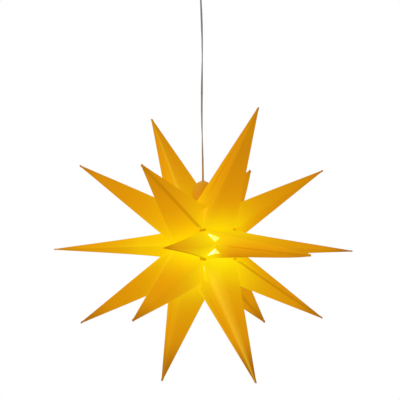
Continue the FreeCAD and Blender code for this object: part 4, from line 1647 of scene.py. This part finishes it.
@dataclass
class HangingCord:
    """The clear twin cord that carries the star, with its two stranded conductors."""

    route: tuple[tuple[float, float, float], ...] = (
        (0.0, 0.0, -0.4563),
        (0.0, 0.0, -0.418),
        (-0.00032, -0.00038, -0.378),
        (-0.00070, -0.00083, -0.328),
        (-0.00010, -0.00012, -0.273),
        (0.00084, 0.001, -0.218),
        (0.00058, 0.00069, -0.168),
        (0.0, -0.0004, -0.125),
        (0.0, -0.0026, -0.088),
        (0.0, -0.0026, -0.049),
        (0.0, -0.0053, -0.035),
        (0.0, -0.00265, -0.03041),
        (0.0, 0.00265, -0.03041),
        (0.0, 0.0053, -0.035),
        (0.0, 0.0026, -0.049),
        (0.0, 0.0026, -0.069),
        (0.0, 0.0064, -0.077),
        (0.0, 0.0064, -0.083),
    )
    width: float = 0.0036
    wire_spacing: float = 0.0017
    wire_radius: float = 0.00052
    lobe_points: int = 11
    twist_from: float = -0.108
    half_turn: float = 0.146
    spline_order: int = 3
    points_per_span: int = 10
    wire_sides: int = 10

    def _centreline(self) -> list[Vector]:
        """Reads points from a smooth spline that follows the route.

        Returns:
            The points, from the bush to the tail's end.
        """
        curve = bpy.data.curves.new("cord_route", "CURVE")
        curve.dimensions = "3D"
        curve.resolution_u = self.points_per_span
        spline = curve.splines.new("NURBS")
        spline.points.add(len(self.route) - 1)
        for point, place in zip(spline.points, self.route):
            point.co = (*place, 1.0)
        spline.order_u = self.spline_order
        spline.use_endpoint_u = True
        holder = bpy.data.objects.new("cord_route", curve)
        line = bpy.data.meshes.new_from_object(holder)
        points = [vertex.co.copy() for vertex in line.vertices]
        bpy.data.objects.remove(holder)
        bpy.data.meshes.remove(line)
        return points

    def _flat_side(self, height: float) -> Vector:
        """Direction of the cord's width: below the clip the cord twists slowly."""
        angle = math.pi * max(0.0, self.twist_from - height) / self.half_turn
        return Vector((math.cos(angle), math.sin(angle), 0.0))

    def _twin_profile(self) -> list[tuple[float, float]]:
        """Draws the outline of the two joined round lobes.

        Returns:
            Its points, across and ahead of the cord's middle.
        """
        centre = self.wire_spacing / 2
        radius = self.width / 2 - centre
        reach = math.acos(-centre / radius)
        steps = self.lobe_points - 1
        angles = [reach * (2 * index / steps - 1) for index in range(steps)]
        right = [(centre + radius * math.cos(a), radius * math.sin(a)) for a in angles]
        return right + [(-x, -y) for x, y in right]

    def build(
        self, sheath: bpy.types.Material, wire: bpy.types.Material, fittings: Sequence[bpy.types.Object]
    ) -> list[bpy.types.Object]:
        """Args:
            sheath: Material of the clear sheath.
            wire: Material of the conductors.
            fittings: The separate pieces on the cord; not used.

        Returns:
            The sheath and the conductors.
        """
        points = self._centreline()
        tube = Sweep(points, self._flat_side).tube(self._twin_profile())
        cover = new_piece("cord_sheath", tube, [sheath])
        place_piece(cover, Body.CORD, "clear_pvc", "hanging_cord")
        inner = points[1:-1]
        wires = []
        for name, side in (("cord_wire_left", -1.0), ("cord_wire_right", 1.0)):
            sweep = Sweep(inner, self._flat_side, side * self.wire_spacing / 2)
            strand = new_piece(name, sweep.tube(circle_profile(self.wire_radius, self.wire_sides)), [wire])
            wires.append(place_piece(strand, Body.CORD, "clear_pvc"))
        return [cover, *wires]


@dataclass
class CeilingHook:
    """The steel hook: a bent wire, a shoulder against the collar and a threaded shank."""

    wire_radius: float = 0.0025
    bend_radius: float = 0.0115
    neck_turn_deg: float = 60.0
    tip_deg: float = 40.0
    shoulder_radius: float = 0.0042
    shoulder_top: float = -0.002
    shoulder_bottom: float = -0.0036
    shank_radius: float = 0.002
    core_radius: float = 0.00155
    shank_length: float = 0.018
    point_length: float = 0.004
    pitch: float = 0.0018
    root_share: float = 0.96
    ridge_share: float = 0.3
    thread_steps: int = 20
    step_deg: float = 7.5
    wire_sides: int = 18
    neck_overlap: float = 0.0002
    shoulder_chamfer: float = 0.0004
    shank_chamfer: float = 0.0003
    crease_deg: float = 35.0

    def _wire_line(self) -> list[Vector]:
        """Works out the wire's middle, along the neck's bend and then round the hook's bend.

        Returns:
            The points, from the shoulder to the hook's end.
        """
        turn = math.cos(math.radians(self.neck_turn_deg))
        neck = self.bend_radius * turn / (1 - turn)
        rise = math.sin(math.radians(self.neck_turn_deg)) * (neck + self.bend_radius)
        top = self.shoulder_bottom
        middle = top - rise
        points = []
        steps = round(self.neck_turn_deg / self.step_deg)
        for index in range(steps + 1):
            angle = math.radians(-self.neck_turn_deg * index / steps)
            points.append(Vector((neck * math.cos(angle) - neck, 0.0, top + neck * math.sin(angle))))
        start, end = 180.0 - self.neck_turn_deg, 360.0 + self.tip_deg
        steps = round((end - start) / self.step_deg)
        for index in range(1, steps + 1):
            angle = math.radians(start + (end - start) * index / steps)
            across, up = self.bend_radius * math.cos(angle), self.bend_radius * math.sin(angle)
            points.append(Vector((across, 0.0, middle + up)))
        return points

    def _thread(self, mesh: bmesh.types.BMesh) -> None:
        """Adds the helical ridge round the shank's core.

        Args:
            mesh: The hook's mesh.
        """
        low, high = self.pitch, self.shank_length
        turns = (high - low) / self.pitch
        deep = self.core_radius * self.root_share
        half = self.pitch * self.ridge_share
        corners = [
            mesh.verts.new((deep, 0.0, low - half)),
            mesh.verts.new((self.shank_radius, 0.0, low)),
            mesh.verts.new((deep, 0.0, low + half)),
        ]
        face = mesh.faces.new(corners)
        bmesh.ops.spin(
            mesh, geom=[face], cent=(0.0, 0.0, 0.0), axis=UP,
            dvec=(0.0, 0.0, self.pitch / self.thread_steps), angle=math.tau * turns,
            steps=round(self.thread_steps * turns), use_merge=False,
            use_normal_flip=False, use_duplicate=False,
        )

    def build(self, steel: bpy.types.Material) -> bpy.types.Object:
        """Makes the hook.

        Args:
            steel: Its material.

        Returns:
            The piece.
        """
        sweep = Sweep(self._wire_line(), lambda height: ALONG_STAR)
        mesh = sweep.tube(circle_profile(self.wire_radius, self.wire_sides), self.wire_radius)
        outline = (
            (0.0, self.shoulder_bottom - self.neck_overlap),
            (self.shoulder_radius - self.shoulder_chamfer, self.shoulder_bottom),
            (self.shoulder_radius, self.shoulder_bottom + self.shoulder_chamfer),
            (self.shoulder_radius, self.shoulder_top),
            (self.wire_radius, self.shoulder_top),
            (self.wire_radius, 0.0),
            (self.core_radius, self.shank_chamfer),
            (self.core_radius, self.shank_length),
            (0.0, self.shank_length + self.point_length),
        )
        lathe(mesh, outline, Matrix.Identity(4))
        self._thread(mesh)
        bmesh.ops.recalc_face_normals(mesh, faces=mesh.faces)
        piece = new_piece("ceiling_hook_threaded", mesh, [steel])
        crease(piece, self.crease_deg)
        return place_piece(piece, Body.HOOK, "zinc_steel", "ceiling_hook")


# Studio


@dataclass(frozen=True)
class SoftLamp:
    """A square lamp that faces the star, turned from the camera by an angle about the cord."""

    name: str
    side_deg: float
    height: float
    away: float
    size: float
    power: float


@dataclass
class Studio:
    """Camera, lamps, surroundings and floor."""

    view_deg: float = 50.0
    distance: float = 3.617
    lens: float = 180.0
    sensor: float = 36.0
    aim_left: float = 0.0058
    aim_up: float = 0.0807
    roll_deg: float = 0.6
    farthest: float = 50.0
    key: SoftLamp = SoftLamp("key", -55.0, 1.1, 2.8, 1.6, 17.0)
    fill: SoftLamp = SoftLamp("fill", 62.0, 0.4, 2.8, 2.0, 3.0)
    ambient: float = 0.78
    floor_height: float = -2.4
    floor_radius: float = 2.4
    floor_sides: int = 96
    floor_fade_share: float = 0.5
    floor_colour: Colour = (0.92, 0.92, 0.92)
    floor_dark_share: float = 0.97
    floor_roughness: float = 0.8
    floor_speckle: float = 0.004

    def _toward_camera(self) -> Vector:
        """Level direction from the star to the camera."""
        angle = math.radians(self.view_deg)
        return Vector((math.sin(angle), -math.cos(angle), 0.0))

    def picture_right(self) -> Vector:
        """Level direction that runs to the picture's right."""
        return UP.cross(self._toward_camera())

    def camera(self) -> None:
        """Sets the camera level with the star, at the picture's angle."""
        out = self._toward_camera()
        right = self.picture_right()
        data = bpy.data.cameras.new("camera")
        data.lens = self.lens
        data.sensor_width = self.sensor
        data.clip_end = self.farthest
        camera = bpy.data.objects.new("camera", data)
        bpy.context.scene.collection.objects.link(camera)
        camera.location = STAR_CENTRE + out * self.distance
        aim = STAR_CENTRE - right * self.aim_left + UP * self.aim_up
        look = (aim - camera.location).to_track_quat("-Z", "Y")
        roll = Matrix.Rotation(math.radians(-self.roll_deg), 4, "Z")
        camera.rotation_mode = "QUATERNION"
        camera.rotation_quaternion = (look.to_matrix().to_4x4() @ roll).to_quaternion()
        bpy.context.scene.camera = camera

    def _hang(self, wanted: SoftLamp) -> None:
        """Adds one lamp.

        Args:
            wanted: Its place, size and power.
        """
        data = bpy.data.lights.new(wanted.name, "AREA")
        data.shape = "SQUARE"
        data.size = wanted.size
        data.energy = wanted.power
        lamp = bpy.data.objects.new(wanted.name, data)
        bpy.context.scene.collection.objects.link(lamp)
        turn = Matrix.Rotation(math.radians(wanted.side_deg), 4, UP)
        out = turn @ self._toward_camera()
        lamp.location = STAR_CENTRE + out * wanted.away + UP * wanted.height
        lamp.rotation_mode = "QUATERNION"
        lamp.rotation_quaternion = (STAR_CENTRE - lamp.location).to_track_quat("-Z", "Y")

    def surroundings(self) -> None:
        """Makes the plain surroundings: white where they are seen, dimmer where they light."""
        world = bpy.data.worlds.new("studio")
        bpy.context.scene.world = world
        graph = Graph(world)
        path = graph.node("LightPath")
        seen = Channel(graph, path.outputs["Is Camera Ray"])
        for ray in ("Is Glossy Ray", "Is Transmission Ray"):
            seen = seen + path.outputs[ray]
        lights = [
            graph.node("Background", None, {"Color": WHITE, "Strength": strength}).outputs[0]
            for strength in (self.ambient, 1.0)
        ]
        shown = graph.node("MixShader", None, {0: seen, 1: lights[0], 2: lights[1]})
        graph.node("OutputWorld", None, {"Surface": shown.outputs[0]})

    def floor(self) -> None:
        """Lays the pale floor, which fades out at its edge and from below."""
        mesh = bmesh.new()
        bmesh.ops.create_circle(
            mesh, cap_ends=True, segments=self.floor_sides, radius=self.floor_radius
        )
        bmesh.ops.translate(mesh, verts=mesh.verts, vec=(0.0, 0.0, self.floor_height))
        graph = Graph(bpy.data.materials.new("pale_floor"))
        place = graph.place((0.0, 0.0, self.floor_height))
        distance = graph.measure("LENGTH", place)
        speckle = graph.noise(place, self.floor_speckle, detail=2.0)
        below = Channel(graph, graph.node("NewGeometry").outputs["Backfacing"])
        fade = distance.band(self.floor_radius, self.floor_radius * self.floor_fade_share)
        surface = {
            "Base Color": graph.mix(
                speckle, self.floor_colour, dimmed(self.floor_colour, self.floor_dark_share)
            ),
            "Roughness": self.floor_roughness,
            "Alpha": fade * (1 - below),
        }
        floor = new_piece("floor", mesh, [graph.finish(surface)])

    def build(self) -> None:
        """Builds the studio and sets how colours are shown."""
        self.camera()
        self.surroundings()
        for lamp in (self.key, self.fill):
            self._hang(lamp)
        self.floor()
        bpy.context.scene.view_settings.view_transform = "Standard"


# Finishes of this lamp

SHEET_OUTSIDE = LitSheet(
    name="sheet_outside",
    far_colour=(0.70, 0.290, 0.004),
    near_colour=(0.76, 0.370, 0.006),
    tip_colour=(0.36, 0.120, 0.006),
    glow_stops=(
        (0.12, (0.04, 0.012, 0.0)),
        (0.16, (0.10, 0.040, 0.0)),
        (0.21, (0.15, 0.075, 0.0)),
        (0.28, (0.19, 0.130, 0.0)),
        (0.47, (0.27, 0.300, 0.0)),
        (0.75, (0.31, 0.460, 0.0)),
        (1.0, (0.34, 0.520, 0.004)),
    ),
)
SHEET_INSIDE = LitHollow(
    name="sheet_inside",
    colour=(0.80, 0.45, 0.02),
    level_glow=(1.0, 0.88, 0.16),
    far_glow=(0.42, 0.25, 0.0),
)
SHEET_SEAT = LitSheet(
    name="sheet_seat",
    far_colour=(0.70, 0.34, 0.002),
    near_colour=(0.72, 0.36, 0.002),
    tip_colour=(0.70, 0.34, 0.002),
    glow_stops=((0.1, (0.20, 0.12, 0.0)), (0.5, (0.34, 0.25, 0.0)), (1.0, (0.44, 0.36, 0.0))),
    cloud=0.01,
)
# The fasteners' heads are darker than the sheet, with less glow: painted shade of the deep corners they sit
# in
SHADED_RIVET_PLASTIC = LitSheet(
    name="rivet_plastic_shaded",
    far_colour=(0.55, 0.28, 0.001),
    near_colour=(0.55, 0.28, 0.001),
    tip_colour=(0.55, 0.28, 0.001),
    glow_stops=((0.1, (0.10, 0.05, 0.0)), (0.5, (0.17, 0.11, 0.0)), (1.0, (0.20, 0.15, 0.0))),
    cloud=0.01,
)
POLE_PLASTIC = LitSheet(
    name="pole_plastic",
    far_colour=(0.76, 0.370, 0.002),
    near_colour=(0.76, 0.370, 0.002),
    tip_colour=(0.76, 0.370, 0.002),
    glow_stops=((0.4, (0.27, 0.30, 0.0)), (0.75, (0.31, 0.46, 0.0))),
    cloud=0.01,
)
CAP_PLASTIC = MouldedPlastic("cap_plastic", (0.70, 0.31, 0.003), 0.5, 0.08, 0.10)
LIT_WHITE_PLASTIC = MouldedPlastic("lit_white_plastic", (0.80, 0.56, 0.02), 0.4, 0.1, 0.35)
WHITE_PLASTIC = MouldedPlastic("white_plastic", tint(236, 235, 230), 0.4)
TERMINAL_PLASTIC = MouldedPlastic("terminal_plastic", tint(226, 224, 210), 0.35)
BLACK_PLASTIC = MouldedPlastic("black_plastic", tint(30, 30, 32), 0.38)
LEAD_PLASTIC = MouldedPlastic("lead_insulation", tint(176, 34, 24), 0.32)
SEAL_RUBBER = MouldedPlastic("seal_rubber", tint(28, 28, 28), 0.7)
BOARD_COAT = MouldedPlastic("board_coat", tint(240, 240, 238), 0.3)
ZINC = PlatedMetal("zinc_plate", (0.46, 0.47, 0.48), 0.28)
NICKEL = PlatedMetal("nickel_plate", (0.58, 0.55, 0.49), 0.18)
COPPER = StrandedWire("copper_strands", (0.52, 0.36, 0.27))
CORD_SHEATH = ClearPlastic(
    "cord_sheath", (0.24, 0.22, 0.21), (0.13, 0.12, 0.115), 0.62, 0.15,
    cloud=0.05, star_light_colour=(0.6, 0.3, 0.03),
)
BUSH_CLEAR = ClearPlastic("bush_clear", (0.80, 0.62, 0.30), (0.6, 0.42, 0.2), 0.6)
CLIP_CLEAR = ClearPlastic("clip_clear", (0.78, 0.80, 0.82), (0.66, 0.68, 0.7), 0.4)
GLOBE_FROST = Glowing(
    "frosted_globe", (0.95, 0.93, 0.84), (1.0, 0.86, 0.42), (1.0, 0.93, 0.6), -0.545, -0.59, 1.1
)
LED_PHOSPHOR = Glowing(
    "led_phosphor", (0.95, 0.85, 0.35), (1.0, 0.9, 0.6), (1.0, 0.92, 0.7), -0.552, -0.555, 3.0
)

# What sets each arm apart from an even one; thin and shade set painted light, seam painted shade
ARM_HABITS = {
    ("segment_left", Arm.FRONT): ArmHabit(-1.0, -5.8, thin=0.42, crest=0.0, seam=0.3),
    ("segment_right", Arm.FRONT): ArmHabit(-5.6, -5.1, thin=0.22, crest=0.3),
    ("segment_right", Arm.RIM): ArmHabit(
        0.6, -20.4, thin=-0.32, shade=0.38, crest=0.3, browning=0.4, swell=1.0
    ),
    ("segment_right", Arm.BACK): ArmHabit(1.6, -14.8, crest=0.4, seam=0.6, browning=1.5),
    ("segment_upper_left", Arm.FRONT): ArmHabit(
        -1.6, 2.6, thin=0.12, crest=0.2, seam=0.15, browning=1.3
    ),
    ("segment_upper_left", Arm.RIM): ArmHabit(-4.7, -7.4, thin=0.0, crest=1.8, reach=0.4),
    ("segment_upper_left", Arm.BACK): ArmHabit(-22.2, 0.6, swell=0.3),
    ("segment_upper_right", Arm.FRONT): ArmHabit(7.6, -1.9, thin=0.10, browning=1.2),
    ("segment_upper_right", Arm.RIM): ArmHabit(8.8, -2.6, thin=-0.10, shade=0.12, crest=0.2, reach=0.3),
    ("segment_upper_right", Arm.BACK): ArmHabit(5.1, -5.3, crest=0.4, seam=0.3),
    ("segment_lower_left", Arm.FRONT): ArmHabit(-2.3, 3.5, crest=0.2, seam=0.3),
    ("segment_lower_left", Arm.RIM): ArmHabit(
        9.6, -10.1, thin=-0.14, crest=0.3, reach=0.5, browning=0.75
    ),
    ("segment_lower_left", Arm.BACK): ArmHabit(2.0, -9.4),
    ("segment_lower_right", Arm.FRONT): ArmHabit(-10.1, 10.7, crest=1.8, reach=0.3, seam=0.3),
    ("segment_lower_right", Arm.RIM): ArmHabit(-1.0, -1.2, thin=-0.18, crest=2.5, reach=0.9),
    ("segment_lower_right", Arm.BACK): ArmHabit(1.0, 2.0, crest=0.5),
}

NODE_FINISHES = {
    "corner_rivets_front": (SHADED_RIVET_PLASTIC, "rivet_yellow"),
    "corner_rivets_back": (SHADED_RIVET_PLASTIC, "rivet_yellow"),
    "pole_button_front": (POLE_PLASTIC, "rivet_yellow"),
    "pole_button_back": (POLE_PLASTIC, "rivet_yellow"),
    "top_cap": (CAP_PLASTIC, "cap_yellow"),
    "cord_bush": (BUSH_CLEAR, "clear_pvc"),
    "cord_stopper": (NICKEL, "nickel"),
    "saddle_block": (LIT_WHITE_PLASTIC, "white_plastic"),
    "retaining_nut": (LIT_WHITE_PLASTIC, "white_plastic"),
    "holder_tube": (WHITE_PLASTIC, "white_plastic"),
    "terminal_block": (TERMINAL_PLASTIC, "terminal_plastic"),
    "terminal_screws": (ZINC, "zinc_steel"),
    "inner_leads": (LEAD_PLASTIC, "lead_insulation"),
    "lamp_base": (WHITE_PLASTIC, "white_plastic"),
    "seal_ring": (SEAL_RUBBER, "seal_rubber"),
    "led_board": (BOARD_COAT, "board_white"),
    "led_chips": (LED_PHOSPHOR, "led_phosphor"),
    "lamp_globe": (GLOBE_FROST, "frosted_globe"),
    "hook_collar": (ZINC, "zinc_steel"),
    "clip_front": (CLIP_CLEAR, "clip_clear"),
    "clip_back": (CLIP_CLEAR, "clip_clear"),
    "clip_screws": (ZINC, "zinc_steel"),
    "connector_body": (BLACK_PLASTIC, "black_plastic"),
    "connector_barrel": (NICKEL, "nickel"),
    "connector_insulator": (BLACK_PLASTIC, "black_plastic"),
}
CORD_FITTINGS = (
    "cord_stopper", "clip_front", "clip_back", "clip_screws",
    "connector_body", "connector_barrel", "connector_insulator",
)


def main() -> None:
    """Builds the camera and the cord first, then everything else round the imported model."""
    logging.basicConfig(level=logging.INFO, format="%(name)s: %(message)s")
    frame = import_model()
    nodes = frame["nodes"]
    studio = Studio()
    studio.build()
    HangingCord().build(
        CORD_SHEATH.material(), COPPER.material(), [nodes[name] for name in CORD_FITTINGS]
    )
    materials: dict[str, bpy.types.Material] = {}
    for name, (finish, slot) in NODE_FINISHES.items():
        if finish.name not in materials:
            materials[finish.name] = finish.material()
        dress(nodes, name, materials[finish.name])
    CeilingHook().build(materials[ZINC.name])
    sheet = [SHEET_OUTSIDE.material(), SHEET_INSIDE.material(), SHEET_SEAT.material()]
    StarShell().build(sheet, ARM_HABITS, studio.picture_right())


if __name__ == "__main__":
    main()
